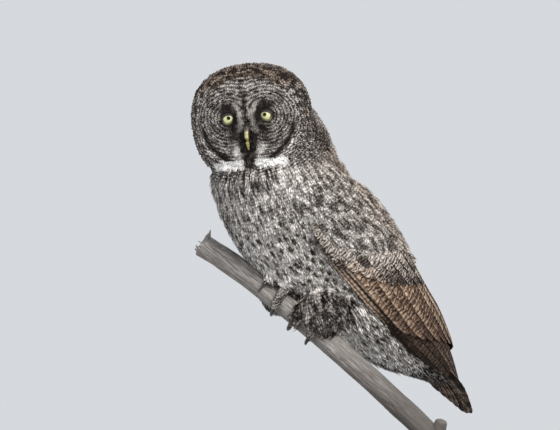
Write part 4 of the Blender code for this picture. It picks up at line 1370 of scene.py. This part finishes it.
# A vane's half width along it, as a share of its widest.
VANE_OUTLINE = (
    (0.0, 0.30),
    (0.10, 0.72),
    (0.35, 0.97),
    (0.60, 1.0),
    (0.80, 0.95),
    (0.90, 0.82),
    (0.96, 0.60),
    (0.99, 0.34),
    (1.0, 0.10),
)
VANE_ACROSS = np.array((-1.0, -0.8, -0.5, -0.22, -0.06, 0.06, 0.22, 0.5, 0.8, 1.0))
VANE_THICKNESS = 0.0007
VANE_RIPPLE = 0.00010
VANE_RAGGED = 0.035
SHAFT_HEIGHT = 0.00045
SHAFT_WIDTH = 0.11
VANE_PATCH = 8 * PATCH
BAKE_CELLS = 12


def vane_points(place, half_width, lifts, tilt, camber, rng):
    """One feather's rings, and how far along and across it each point lies."""
    f = VANE_STATIONS[:, None]
    c = VANE_ACROSS[None]
    outline = np.interp(VANE_STATIONS, *zip(*VANE_OUTLINE))[:, None]
    ragged = 1 + VANE_RAGGED * rng.normal(0, 1, (len(VANE_STATIONS), 2))
    side_width = np.where(c < 0, ragged[:, :1], ragged[:, 1:])
    across = half_width * outline * side_width * c
    height = lifts[0] + (lifts[1] - lifts[0]) * f
    height = height - tilt * c * np.minimum(1, 2 * f) - camber * c**2
    shaft = SHAFT_HEIGHT * bump(c, SHAFT_WIDTH) * (1 - 0.8 * f)
    ripple = VANE_RIPPLE * rng.normal(0, 1, across.shape)
    top = place(f + 0 * c, across, height + shaft + ripple)
    thin = VANE_THICKNESS * (1 - 0.4 * f) * (1 - 0.6 * np.abs(c) ** 3)
    under = place(f + 0 * c, across, height - thin)
    rings = np.concatenate([top, under[:, ::-1]], 1)
    along = np.repeat(VANE_STATIONS[:, None], 2 * len(VANE_ACROSS), 1)
    beside = np.concatenate([VANE_ACROSS, VANE_ACROSS[::-1]])[None] * np.ones_like(along)
    return rings, along, beside


def vane_piece(name, finish, feathers, rng, replaced=()):
    """Joins feathers, each with its place, size and marks, to one mesh."""
    ring = 2 * len(VANE_ACROSS)
    steps = len(VANE_STATIONS)
    walls = ring_faces(steps, ring)
    cap = []
    for end in (0, (steps - 1) * ring):
        for i in range(len(VANE_ACROSS) - 1):
            quad = (end + i, end + i + 1, end + ring - 2 - i, end + ring - 1 - i)
            cap.append(quad if end else quad[::-1])
    pattern = np.concatenate([walls, np.array(cap)])
    points, faces, patch = [], [], []
    values = {key: [] for key in ("along", "across", "reach", "place", "tone", "bars", "warmth")}
    for i, feather in enumerate(feathers):
        shape = [feather[key] for key in ("place", "half_width", "lifts", "tilt", "camber")]
        rings, f, c = vane_points(*shape, rng)
        f, c = f.ravel(), c.ravel()
        flat = rings.reshape(-1, 3)
        length = np.linalg.norm(rings[-1].mean(0) - rings[0].mean(0))
        quads = pattern + i * steps * ring
        points.append(flat)
        faces.append(quads if feather["side"] > 0 else quads[:, ::-1])
        values["along"].append(f)
        values["across"].append(c)
        values["reach"].append(f * length + rng.uniform(0, 0.01))
        values["place"].append(np.repeat(rng.uniform(-1, 1, (1, 3)), len(flat), 0))
        for key in ("tone", "bars", "warmth"):
            value = feather[key]
            values[key].append(value(f, c) if callable(value) else np.full(len(flat), value))
        corner = np.stack([c * 0.5, f - 0.5], -1) * VANE_PATCH
        cell = np.array((i % BAKE_CELLS + 0.5, i // BAKE_CELLS + 0.5)) / BAKE_CELLS
        patch.append(cell + corner)
    values = {key: np.concatenate(value) for key, value in values.items()}
    points, faces, patch = (np.concatenate(rows) for rows in (points, faces, patch))
    mesh = mesh_from_arrays(name, points, faces, values, patch)
    return finish_piece(add_object(name, mesh, finish), replaced)


def vane(place, half_width, lifts, bend, marks, side):
    """One feather for vane_piece: bend is its tilt and camber, marks its tone, bars and warmth."""
    keys = ("place", "half_width", "lifts", "tilt", "camber", "tone", "bars", "warmth", "side")
    return dict(zip(keys, (place, half_width, lifts, *bend, *marks, side)))


def wing_place(side, root, tip):
    """Where a wing feather's points lie, for root and tip as (place along, degrees)."""

    def place(f, across, lift):
        t = root[0] + (tip[0] - root[0]) * f
        angle = np.radians(root[1] + (tip[1] - root[1]) * f)
        here = smooth_rows(WING, t)
        radius = np.hypot(here[..., 2] * np.cos(angle), here[..., 3] * np.sin(angle))
        return wing_points(t, side * (angle + across / radius), lift)

    return place


def on_line(line, angle):
    """The place along at which a line of tips crosses an angle."""
    angles, places = zip(*line)
    return float(np.interp(angle, angles, places))


def primary_tone(side, tip):
    """Dark, with a pale outer edge under the coverts and a thin one at the longest feather's end."""

    def tone(f, c):
        t = PRIMARY_START + (tip[0] - PRIMARY_START) * f
        pale = bump(c * side + 0.62, 0.27) * ramp_down(t, PALE_EDGE_END, 0.05)
        thin = 0.60 * bump(c * side + 0.93, 0.10) * (f > 0.70) * (tip[0] > 0.93)
        return 0.90 + 0.12 * ramp_up(f, 0.6, 0.25) - 0.72 * pale - thin

    return tone


def primaries(side):
    """Long narrow feathers, the outermost lowest, whose pale outer edges show as strips under the coverts."""
    made = []
    for tip, angle, lift in zip(PRIMARY_TIPS, PRIMARY_ROOTS, PRIMARY_LIFTS):
        place = wing_place(side, (PRIMARY_START, angle), tip)
        marks = (primary_tone(side, tip), lambda f, c: 0.32 - 0.10 * f, lambda f, c: 0.8 - 0.5 * f)
        made.append(vane(place, PRIMARY_HALF_WIDTH, (lift, lift), (0.0002, 0.0003), marks, side))
    return made


def secondary_tone(side):
    """Brown, darker towards the tip and along the shaft, paler at the outer edge."""
    return lambda f, c: 0.64 + 0.16 * f**2 - 0.18 * bump(c * side + 0.9, 0.2) + 0.16 * bump(c, 0.10)


def secondaries(side):
    """Broad barred feathers from the wing's lower edge round to its inner edge over the back."""
    made = []
    for i, angle in enumerate(SECONDARY_ANGLES):
        tip = on_line(SECONDARY_TIPS, angle)
        share = (angle - 62) / 112
        root = WING_BED_END[0] + (WING_BED_END[1] - WING_BED_END[0]) * share - 0.05
        place = wing_place(side, (root, angle - ROOT_TURN), (tip, angle))
        warmth = 0.85 - 0.5 * min(1.0, max(0.0, (angle - 110) / 50))
        marks = (secondary_tone(side), lambda f, c: 0.44 * (1 - 0.6 * f**3), warmth)
        lifts = (-0.0030, 0.0010 + 0.0001 * (i % 2))
        made.append(vane(place, SECONDARY_HALF_WIDTH, lifts, (0.0013, 0.0006), marks, side))
    return made


def covert_tone(ground, dark):
    """Grey-brown ground with a dark end."""
    return lambda f, c: ground + dark * bump(f - 0.88, 0.14) * (1 - 0.8 * c**2)


ROOT_TURN = 1.5
FRONT_EDGE_ANGLE = 66
COVERT_BARS = 0.50


def coverts(side, row):
    """One row of coverts. They end darkest over the back, and the lowest are the warmest."""
    shift, length, half_width, angles = COVERT_ROWS[row]
    made = []
    for angle in angles:
        tip = on_line(GREATER_COVERT_TIPS, angle) - shift
        dark = 0.34 * (1.0 if angle > 80 else 0.2) * (1 - 0.4 * row)
        ground = 0.80 if angle < FRONT_EDGE_ANGLE else 0.72
        place = wing_place(side, (tip - length, angle - ROOT_TURN), (tip, angle))
        warmth = 0.40 - 0.10 * row + (0.3 if row == 0 and angle < 85 else 0.0)
        marks = (covert_tone(ground, dark), COVERT_BARS, warmth)
        made.append(vane(place, half_width, (-0.0046, 0.0020 - 0.0002 * row), (0.0012, 0.0008), marks, side))
    return made


VANE_BLOTCHES = (1.0, 1.0, 1.0)


class OWL_OT_wings(bpy.types.Operator):
    """Builds both folded wings: primaries, secondaries and the rows of coverts"""

    bl_idname = "owl.wings"
    bl_label = "Wings"

    def execute(self, context):
        flight = plumage(
            "flight_feathers",
            {"Spacing": 0.0080, "Mottle": 0.20, "Waviness": 2.2, "Blotches": VANE_BLOTCHES},
            tint=(1.12, 0.96, 0.82),
            colours=((0.66, 0.60, 0.52), (0.38, 0.31, 0.255), (0.085, 0.060, 0.046), (0.014, 0.010, 0.008)),
        )
        cover = plumage(
            "covert_feathers",
            {"Spacing": 0.0050, "Mottle": 0.30, "Waviness": 2.6, "Blotches": VANE_BLOTCHES},
        )
        for name, side in (("left", 1), ("right", -1)):
            rng = np.random.default_rng(20 + side)
            vane_piece(f"wing_{name}_primaries", flight, primaries(side), rng)
            vane_piece(f"wing_{name}_secondaries", flight, secondaries(side), rng, replaced=(f"wing_{name}",))
            rows = [feather for row in range(len(COVERT_ROWS)) for feather in coverts(side, row)]
            vane_piece(f"wing_{name}_coverts", cover, rows, rng)
        return {"FINISHED"}


RECTRIX_ROOT = 0.04
RECTRIX_HALF_WIDTH = 0.0098
RECTRIX_LIFT = 0.0034
RECTRIX_STEP = 0.0011
RECTRIX_SPREAD = (0.0042, 0.0052)


def rectrix_tone(f, c):
    """Nearly black, with a thin pale edge."""
    return 0.88 - 0.55 * bump(np.abs(c) - 0.97, 0.10) * (f > 0.2)


def tail_place(tip, spread):
    """Where a tail feather's points lie, for how far its tip and its spread reach."""

    def place(f, across, lift):
        s = RECTRIX_ROOT + (tip - RECTRIX_ROOT) * f
        here, _, dorsal = line_frame(TAIL, s, 0.02)
        sideways = spread * (0.55 + 0.45 * np.sin(np.pi * np.minimum(f, 0.7) / 1.4)) + across
        return body_place(here[..., 0], here[..., 1], sideways) + np.asarray(lift)[..., None] * dorsal

    return place


class OWL_OT_tail(bpy.types.Operator):
    """Builds the closed tail, the middle pair of feathers on top"""

    bl_idname = "owl.tail"
    bl_label = "Tail"

    def execute(self, context):
        rng = np.random.default_rng(31)
        finish = plumage(
            "tail_feathers",
            {"Spacing": 0.020, "Mottle": 0.25, "Waviness": 1.6, "Blotches": VANE_BLOTCHES},
            tint=(1.12, 0.96, 0.84),
            colours=((0.55, 0.50, 0.45), (0.30, 0.25, 0.21), (0.060, 0.045, 0.038), (0.010, 0.008, 0.007)),
        )
        made = []
        for side in (1, -1):
            for i, tip in enumerate(RECTRIX_TIPS):
                height = RECTRIX_LIFT - RECTRIX_STEP * (i + (0.5 if side < 0 else 0.0))
                place = tail_place(tip, side * (RECTRIX_SPREAD[0] + RECTRIX_SPREAD[1] * i))
                marks = (rectrix_tone, 0.26, 0.7)
                made.append(vane(place, RECTRIX_HALF_WIDTH, (height, height), (0.0, 0.0003), marks, 1))
        vane_piece("tail_feathers", finish, made, rng, replaced=("tail",))
        return {"FINISHED"}


# Eyes, lids and bill


PUPIL_ANGLE = 0.26
PUPIL_IN = math.radians(9)
PUPIL_UP = math.radians(6)


def eye_material(name):
    """Yellow iris with fine rays, a dark outer ring and a small black pupil, from the eye's own axes."""
    made, tree, shader = new_material(name, 0.35)
    angle = attribute(tree, "off_axis")
    rays = noise_value(tree, attribute(tree, "rays", True), 9.0, 3.0)
    yellow = tuple(bpy.context.scene.owl_colours.iris)
    deep = tuple(0.55 * value for value in yellow)
    iris = mixed(tree, soft_step(tree, rays, 0.35, 0.68), (*deep, 1), (*yellow, 1))
    iris = mixed(tree, soft_step(tree, angle, 0.76, 0.92), iris, (0.02, 0.016, 0.012, 1))
    beyond_pupil = soft_step(tree, angle, PUPIL_ANGLE - 0.015, PUPIL_ANGLE + 0.015)
    colour = mixed(tree, beyond_pupil, (0.002, 0.002, 0.002, 1), iris)
    tree.links.new(colour, shader.inputs["Base Color"])
    shader.inputs["Specular IOR Level"].default_value = 0.1
    shader.inputs["Coat Weight"].default_value = 0.5
    shader.inputs["Coat Roughness"].default_value = 0.02
    return made


def eye_piece(side, sign):
    """One eyeball with a swollen cornea, turned a little inwards."""
    shape = bmesh.new()
    bmesh.ops.create_uvsphere(shape, u_segments=64, v_segments=48, radius=EYE_RADIUS)
    gaze = unit(AHEAD - sign * math.tan(PUPIL_IN) * ACROSS + math.tan(PUPIL_UP) * HEAD_UP)
    turn = Vector(gaze).to_track_quat("Z", "Y").to_matrix()
    for vertex in shape.verts:
        axis = vertex.co.z / EYE_RADIUS
        swell = 1 + 0.035 * max(0.0, (axis - 0.80) / 0.20)
        vertex.co = turn @ (vertex.co * swell) + Vector(EYES[side])
    mesh = bpy.data.meshes.new(f"eye_ball_{side}")
    shape.to_mesh(mesh)
    shape.free()
    mesh.shade_smooth()
    out = read_points(mesh) - EYES[side]
    axis = np.arccos(np.clip(unit(out) @ gaze, -1, 1))
    rim = unit(out - (out @ gaze)[:, None] * gaze)
    rays = rim * 6 + axis[:, None] * 1.2
    add_values(mesh, {"off_axis": axis, "rays": rays})
    ball = add_object(f"eye_ball_{side}", mesh, eye_material(f"eye_{side}"))
    return finish_piece(ball, (f"eye_{side}",))


LID_SIDES = 64
LID_HALF_WIDTH = 0.0074
LID_RISE = 0.0046
LID_FALL = 0.0062
LID_PALE_RADIUS = 0.0080
LID_THICKNESS = 0.0012
# The lids' section, from the opening outwards: out from it, and up from the eye.
LID_ROWS = (
    (0.0, 0.0004),
    (0.0, 0.0011),
    (0.0006, 0.0015),
    (0.0016, 0.0014),
    (0.0030, 0.0009),
    (0.0050, -0.0006),
    (0.0066, -0.0030),
)


def lid_piece(side, sign, finish):
    """Both lids of one eye: a dark rolled rim round the opening, falling away to the skin."""
    rings = []
    for out, rise in LID_ROWS:
        angle = np.linspace(0, 2 * math.pi, LID_SIDES, endpoint=False)
        reach = np.where(np.sin(angle) > 0, LID_RISE, LID_FALL)
        across = (LID_HALF_WIDTH + out) * np.cos(angle)
        up = (reach + out) * np.sin(angle) + 0.0010 * sign * -np.cos(angle)
        flat = np.minimum(np.hypot(across, up), EYE_RADIUS * 0.985)
        ahead = np.sqrt(EYE_RADIUS**2 - flat**2) + rise
        place = EYES[side] + across[:, None] * ACROSS + up[:, None] * HEAD_UP + ahead[:, None] * AHEAD
        rings.append(place)
    rings = np.array(rings)
    back = rings[::-1] - LID_THICKNESS * AHEAD
    mesh = loft(f"lids_{side}", np.concatenate([rings, back]))
    shape = bmesh.new()
    shape.from_mesh(mesh)
    for face in [f for f in shape.faces if len(f.verts) > 4]:
        shape.faces.remove(face)
    ends = [e for e in shape.edges if len(e.link_faces) == 1]
    bmesh.ops.bridge_loops(shape, edges=ends)
    bmesh.ops.recalc_face_normals(shape, faces=shape.faces)
    shape.to_mesh(mesh)
    shape.free()
    mesh.shade_smooth()
    out = read_points(mesh) - EYES[side]
    across, up = out @ ACROSS, out @ HEAD_UP
    pale = bump(np.hypot(across, up) - LID_PALE_RADIUS, 0.0011) * np.clip(-up / 0.004 - 0.6, 0, 1)
    add_values(mesh, {"pale": pale})
    return finish_piece(add_object(f"lids_{side}", mesh, finish))


class OWL_OT_eyes(bpy.types.Operator):
    """Builds the eyes and their lids"""

    bl_idname = "owl.eyes"
    bl_label = "Eyes"

    def execute(self, context):
        lid, tree, shader = new_material("lid_skin", 0.5)
        place = object_place(tree)
        grain = noise_value(tree, place, 900.0, 3.0)
        colour = mixed(tree, grain, (0.010, 0.008, 0.007, 1), (0.050, 0.042, 0.036, 1))
        colour = mixed(tree, attribute(tree, "pale"), colour, (0.30, 0.31, 0.15, 1))
        tree.links.new(colour, shader.inputs["Base Color"])
        bump_normal(tree, grain, shader, 0.4, 0.0003)
        for side, sign in (("left", 1), ("right", -1)):
            eye_piece(side, sign)
            lid_piece(side, sign, lid)
        return {"FINISHED"}


WELD_DISTANCE = 0.00001


def refined(name, node, finish, levels=2, shade=None, kind="CATMULL_CLARK"):
    """A smooth, finer piece that stands for a node of the same shape."""
    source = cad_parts[node]
    obj = bpy.data.objects.new(name, source.data.copy())
    bpy.context.scene.collection.objects.link(obj)
    weld = obj.modifiers.new("weld", "WELD")
    weld.merge_threshold = WELD_DISTANCE
    fine = obj.modifiers.new("fine", "SUBSURF")
    fine.subdivision_type = kind
    fine.levels = levels
    fine.render_levels = levels
    mesh = evaluated_mesh(obj)
    bpy.data.objects.remove(obj)
    mesh.shade_smooth()
    if shade is not None:
        add_values(mesh, {"shade": shade(read_points(mesh))})
    return finish_piece(add_object(name, mesh, finish), (node,))


def horn_material(name, pale, deep, roughness, streaks, shaded=None):
    """Horn with fine lengthwise grain, turning to the shaded colour where the mesh says so."""
    made, tree, shader = new_material(name, roughness)
    place = object_place(tree)
    grain = noise_value(tree, scaled(tree, place, streaks), 1.0, 4.0, 0.6)
    colour = mixed(tree, soft_step(tree, grain, 0.3, 0.7), (*deep, 1), (*pale, 1))
    if shaded is not None:
        colour = mixed(tree, attribute(tree, "shade"), colour, (*shaded, 1))
    tree.links.new(colour, shader.inputs["Base Color"])
    shader.inputs["Coat Weight"].default_value = 0.25
    bump_normal(tree, grain, shader, 0.25, 0.0002)
    return made


RIDGE_HALF_WIDTH = 0.0019
RIDGE_BLEND = 0.0009
BRISTLE_EDGE = -0.0215
BILL_SHADED = (0.028, 0.022, 0.014)


def ridge_shade(points):
    """Painted shade on the upper bill: pale along its ridge, dark at its sides and under the bristles."""
    across, _, up = face_coordinates(points)
    sides = ramp_up(np.abs(across), RIDGE_HALF_WIDTH, RIDGE_BLEND)
    return np.maximum(sides, ramp_up(up, BRISTLE_EDGE, 0.004))


def lower_shade(points):
    """The lower bill lies in the upper one's shade."""
    return np.full(len(points), 0.8)


class OWL_OT_bill(bpy.types.Operator):
    """Refines the bill's two halves"""

    bl_idname = "owl.bill"
    bl_label = "Bill"

    def execute(self, context):
        pale = tuple(context.scene.owl_colours.bill)
        deep = tuple(0.42 * value for value in pale)
        horn = horn_material("bill_horn", pale, deep, 0.38, (260, 260, 90), BILL_SHADED)
        refined("bill_upper_horn", "bill_upper", horn, 3, ridge_shade, "SIMPLE")
        refined("bill_lower_horn", "bill_lower", horn, shade=lower_shade)
        return {"FINISHED"}


TALON_PALE = (0.045, 0.040, 0.038)
TALON_DEEP = (0.008, 0.007, 0.007)


class OWL_OT_talons(bpy.types.Operator):
    """Refines the eight talons"""

    bl_idname = "owl.talons"
    bl_label = "Talons"

    def execute(self, context):
        horn = horn_material("talon_horn", TALON_PALE, TALON_DEEP, 0.30, (500, 500, 180))
        for node in TALONS:
            refined(f"{node}_horn", node, horn)
        return {"FINISHED"}


# Branch and stand

BRANCH_START = np.array((-0.211, 0.030, 0.3620))
BRANCH_END = np.array((0.130, -0.062, 0.0780))
BRANCH_VOXEL = 0.0016
BRANCH_SEED = 5
SPLINTERS = 16
SPLINTER_SINK = 0.006


def bark_relief(points):
    """How far the dead wood stands out or is cracked, from grain that runs along the branch."""
    axis = unit(BRANCH_END - BRANCH_START)
    along = (points - BRANCH_START) @ axis
    flat = points - along[:, None] * axis
    relief = np.empty(len(points))
    for i, (s, (x, y, z)) in enumerate(zip(along.tolist(), flat.tolist())):
        grain = noise.noise(Vector((x * 330, y * 330, z * 330 + s * 22)))
        knots = noise.noise(Vector((x * 60 + s * 26, y * 60, z * 60)))
        crack = abs(noise.noise(Vector((x * 150 + 9, y * 150, z * 150 + s * 9))))
        relief[i] = 0.00035 * grain + 0.0009 * knots - 0.0011 * max(0.0, 0.12 - crack) / 0.12
    return relief


def bark_material():
    """Weathered grey wood, finely cracked along the grain, with painted brown shade below and at its low end.
    """
    made, tree, shader = new_material("dead_wood", 0.88)
    place = object_place(tree)
    turn = Vector(BRANCH_END - BRANCH_START).to_track_quat("X", "Z").inverted()
    mapping = tree.nodes.new("ShaderNodeMapping")
    mapping.inputs["Rotation"].default_value = turn.to_euler()
    join(tree, place, mapping.inputs["Vector"])
    lines = scaled(tree, mapping.outputs[0], (45.0, 620.0, 620.0))
    grain = noise_value(tree, lines, 1.0, 5.0, 0.65)
    patches = noise_value(tree, scaled(tree, mapping.outputs[0], (40.0, 75.0, 75.0)), 1.0, 3.0)
    height = tree.nodes.new("ShaderNodeSeparateXYZ")
    tree.links.new(tree.nodes.new("ShaderNodeNewGeometry").outputs["Normal"], height.inputs[0])
    pale = soft_step(tree, grain, 0.34, 0.66)
    colour = mixed(tree, pale, (0.120, 0.105, 0.095, 1), (0.430, 0.405, 0.385, 1))
    colour = mixed(tree, soft_step(tree, patches, 0.45, 0.72, 0.0, 0.55), colour, (0.200, 0.170, 0.150, 1))
    crack = soft_step(tree, grain, 0.24, 0.33, 1.0, 0.0)
    colour = mixed(tree, crack, colour, (0.035, 0.028, 0.024, 1))
    # Painted shade: faces that look down are darkened towards brown.
    under = soft_step(tree, height.outputs["Z"], -0.6, 0.3, 0.40, 0.0)
    colour = mixed(tree, under, colour, (0.110, 0.088, 0.074, 1))
    # Painted shade: the branch darkens towards its lower end.
    along = tree.nodes.new("ShaderNodeSeparateXYZ")
    join(tree, mapping.outputs[0], along.inputs[0])
    low_end = soft_step(tree, along.outputs["X"], -0.22, 0.02, 0.0, 0.88)
    colour = mixed(tree, low_end, colour, (0.085, 0.074, 0.066, 1))
    tree.links.new(colour, shader.inputs["Base Color"])
    bump_normal(tree, grain, shader, 0.9, 0.0008)
    return made


class OWL_OT_branch(bpy.types.Operator):
    """Weathers the dead branch: grain, cracks, knots and splinters at its broken end"""

    bl_idname = "owl.branch"
    bl_label = "Branch"

    def execute(self, context):
        rng = np.random.default_rng(BRANCH_SEED)
        axis = unit(BRANCH_START - BRANCH_END)
        side = unit(np.cross(axis, UP))
        high = np.cross(side, axis)
        shapes = [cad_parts["perch_branch"].data]
        for _ in range(SPLINTERS):
            way = rng.uniform(0, 2 * math.pi)
            out = rng.uniform(0.005, 0.0125)
            root = BRANCH_START - axis * SPLINTER_SINK + out * (math.cos(way) * high + math.sin(way) * side)
            length = rng.uniform(0.005, 0.011)
            wide = rng.uniform(0.0016, 0.0032)
            rings = []
            for f in (0.0, 0.5, 1.0):
                middle = root + axis * (SPLINTER_SINK + length) * f
                size = wide * (1 - 0.85 * f)
                turn = np.linspace(0, 2 * math.pi, 6, endpoint=False)[:, None]
                rings.append(middle + size * (np.cos(turn) * high + np.sin(turn) * side))
            shapes.append(loft("splinter", rings))
        mesh = remeshed("branch", shapes, BRANCH_VOXEL, 1)
        points = read_points(mesh)
        move_points(mesh, points + read_normals(mesh) * bark_relief(points)[:, None])
        branch = add_object("dead_branch", mesh, bark_material())
        finish_piece(branch, ("perch_branch",))
        return {"FINISHED"}


def turned(name, middle, profile, segments):
    """A round solid from a profile of (radius, height), top to bottom, about a vertical axis."""
    angle = np.linspace(0, 2 * math.pi, segments, endpoint=False)
    rings = []
    for radius, height in profile:
        ring = np.stack([radius * np.cos(angle), radius * np.sin(angle), np.full(segments, height)], -1)
        rings.append(ring + np.array((middle[0], middle[1], 0.0)))
    mesh = loft(name, rings)
    mesh.set_sharp_from_angle(angle=math.radians(40))
    return mesh


def rounded_edge(radius, top, size):
    """The profile of a rounded upper edge."""
    angles = np.linspace(0, math.pi / 2, EDGE_STEPS)
    return [(radius - size + size * math.sin(a), top - size + size * math.cos(a)) for a in angles]


def turned_piece(name, node, profile, segments, finish):
    mesh = turned(name, box_middle(node), profile, segments)
    finish_piece(add_object(name, mesh, finish), (node,))


def black_wood():
    """Satin black paint with the wood's grain just showing."""
    made, tree, shader = new_material("ebonised_wood", 0.36)
    grain = noise_value(tree, scaled(tree, object_place(tree), (9.0, 150.0, 150.0)), 1.0, 5.0, 0.6)
    colour = mixed(tree, grain, (0.012, 0.011, 0.011, 1), (0.048, 0.044, 0.042, 1))
    tree.links.new(colour, shader.inputs["Base Color"])
    shader.inputs["Coat Weight"].default_value = 0.35
    bump_normal(tree, grain, shader, 0.2, 0.0003)
    return made


def brushed_steel():
    """Steel brushed round the rod."""
    made, tree, shader = new_material("brushed_steel", 0.3, 1.0)
    brushed = noise_value(tree, scaled(tree, object_place(tree), (40.0, 40.0, 2600.0)), 1.0, 3.0)
    colour = mixed(tree, brushed, (0.42, 0.42, 0.43, 1), (0.62, 0.62, 0.63, 1))
    tree.links.new(colour, shader.inputs["Base Color"])
    tree.links.new(soft_step(tree, brushed, 0.2, 0.8, 0.24, 0.42), shader.inputs["Roughness"])
    return made


EDGE_STEPS = 6
BASE_MIDDLE = 0.02
BASE_EDGE = 0.003
BASE_CHAMFER = 0.001
ROD_RADIUS = 0.005
FILLET = 0.0012
FLANGE_HEIGHT = 0.006


class OWL_OT_stand(bpy.types.Operator):
    """Builds the round base and the rod that carries the branch"""

    bl_idname = "owl.stand"
    bl_label = "Stand"

    def execute(self, context):
        low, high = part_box("stand_base")
        radius = (high.x - low.x) / 2
        profile = [(BASE_MIDDLE, high.z)] + rounded_edge(radius, high.z, BASE_EDGE)
        profile += [(radius, low.z + BASE_CHAMFER), (radius - BASE_CHAMFER, low.z)]
        turned_piece("stand_base_turned", "stand_base", profile, 128, black_wood())
        low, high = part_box("stand_rod")
        foot = (high.x - low.x) / 2
        profile = [(ROD_RADIUS, high.z), (ROD_RADIUS, low.z + 0.0075), (ROD_RADIUS + FILLET, low.z + 0.0062)]
        profile += rounded_edge(foot, low.z + FLANGE_HEIGHT, FILLET) + [(foot, low.z)]
        turned_piece("stand_rod_turned", "stand_rod", profile, 48, brushed_steel())
        return {"FINISHED"}


# Stage

FLOOR_RADIUS = 2.2
FLOOR_LEVEL = -0.0002
# The lights: name, place, width, share of the main light's power and colour.
LIGHTS = (
    ("key", (1.6, -3.0, 2.6), 1.2, 1.0, (1.0, 0.97, 0.93)),
    ("fill", (-3.4, -1.2, 1.2), 2.0, 0.18, (0.95, 0.97, 1.0)),
    ("back", (0.6, 2.8, 2.2), 1.5, 0.5, (1.0, 0.99, 0.97)),
)


def area_light(name, place, size, power, colour):
    """A round soft light that looks at the picture's middle."""
    light = bpy.data.lights.new(name, "AREA")
    light.shape = "DISK"
    light.size = size
    light.energy = power
    light.color = colour
    obj = bpy.data.objects.new(name, light)
    obj.location = place
    obj.rotation_euler = (Vector(PICTURE_MIDDLE) - Vector(place)).to_track_quat("-Z", "Y").to_euler()
    bpy.context.scene.collection.objects.link(obj)


class OWL_OT_stage(bpy.types.Operator):
    """Sets the pale floor, the soft lights and the camera"""

    bl_idname = "owl.stage"
    bl_label = "Stage"

    def execute(self, context):
        settings = context.scene.owl_stage
        level = (0, 0, FLOOR_LEVEL)
        bpy.ops.mesh.primitive_circle_add(vertices=128, radius=FLOOR_RADIUS, fill_type="NGON", location=level)
        floor = context.object
        floor.name = "floor"
        finish, tree, shader = new_material("pale_floor", 0.75)
        place = object_place(tree)
        cloud = noise_value(tree, place, 2.0, 2.0)
        pale = tuple(settings.floor)
        dim = tuple(0.96 * value for value in pale)
        tree.links.new(mixed(tree, cloud, (*dim, 1), (*pale, 1)), shader.inputs["Base Color"])
        floor.data.materials.append(finish)
        world = bpy.data.worlds.new("studio")
        context.scene.world = world
        world.use_nodes = True
        sky = world.node_tree.nodes["Background"]
        sky.inputs["Color"].default_value = (0.93, 0.96, 1.0, 1)
        sky.inputs["Strength"].default_value = settings.sky
        for name, place, size, share, colour in LIGHTS:
            area_light(name, place, size, share * settings.key_power, colour)
        camera = bpy.data.cameras.new("camera")
        camera.sensor_width = SENSOR_WIDTH
        camera.lens = SENSOR_WIDTH * CAMERA_DISTANCE / (METRES_PER_PIXEL * PICTURE_WIDTH)
        obj = bpy.data.objects.new("camera", camera)
        obj.location = PICTURE_MIDDLE - np.array((0.0, CAMERA_DISTANCE, 0.0))
        obj.rotation_euler = (math.pi / 2, 0.0, 0.0)
        context.scene.collection.objects.link(obj)
        context.scene.camera = obj
        context.scene.view_settings.view_transform = "Standard"
        return {"FINISHED"}


class OWL_PT_panel(bpy.types.Panel):
    """Lists the owl's settings and the steps that build it"""

    bl_idname = "OWL_PT_panel"
    bl_label = "Great Grey Owl"
    bl_space_type = "VIEW_3D"
    bl_region_type = "UI"
    bl_category = "Owl"

    def draw(self, context):
        scene = context.scene
        for settings in (scene.owl_coat, scene.owl_colours, scene.owl_stage):
            box = self.layout.box()
            for key in settings.__annotations__:
                box.prop(settings, key)
        for step in STEPS:
            self.layout.operator(step.bl_idname)


STEPS = (
    OWL_OT_skin,
    OWL_OT_body_feathers,
    OWL_OT_head_feathers,
    OWL_OT_wings,
    OWL_OT_tail,
    OWL_OT_eyes,
    OWL_OT_bill,
    OWL_OT_talons,
    OWL_OT_branch,
    OWL_OT_stand,
    OWL_OT_stage,
)
CLASSES = (OwlCoat, OwlColours, OwlStage, *STEPS, OWL_PT_panel)


def register():
    for made in CLASSES:
        bpy.utils.register_class(made)
    bpy.types.Scene.owl_coat = PointerProperty(type=OwlCoat)
    bpy.types.Scene.owl_colours = PointerProperty(type=OwlColours)
    bpy.types.Scene.owl_stage = PointerProperty(type=OwlStage)


def unregister():
    del bpy.types.Scene.owl_stage
    del bpy.types.Scene.owl_colours
    del bpy.types.Scene.owl_coat
    for made in reversed(CLASSES):
        bpy.utils.unregister_class(made)


def main():
    register()
    for step in STEPS:
        group, name = step.bl_idname.split(".")
        getattr(getattr(bpy.ops, group), name)()


if __name__ == "__main__":
    main()
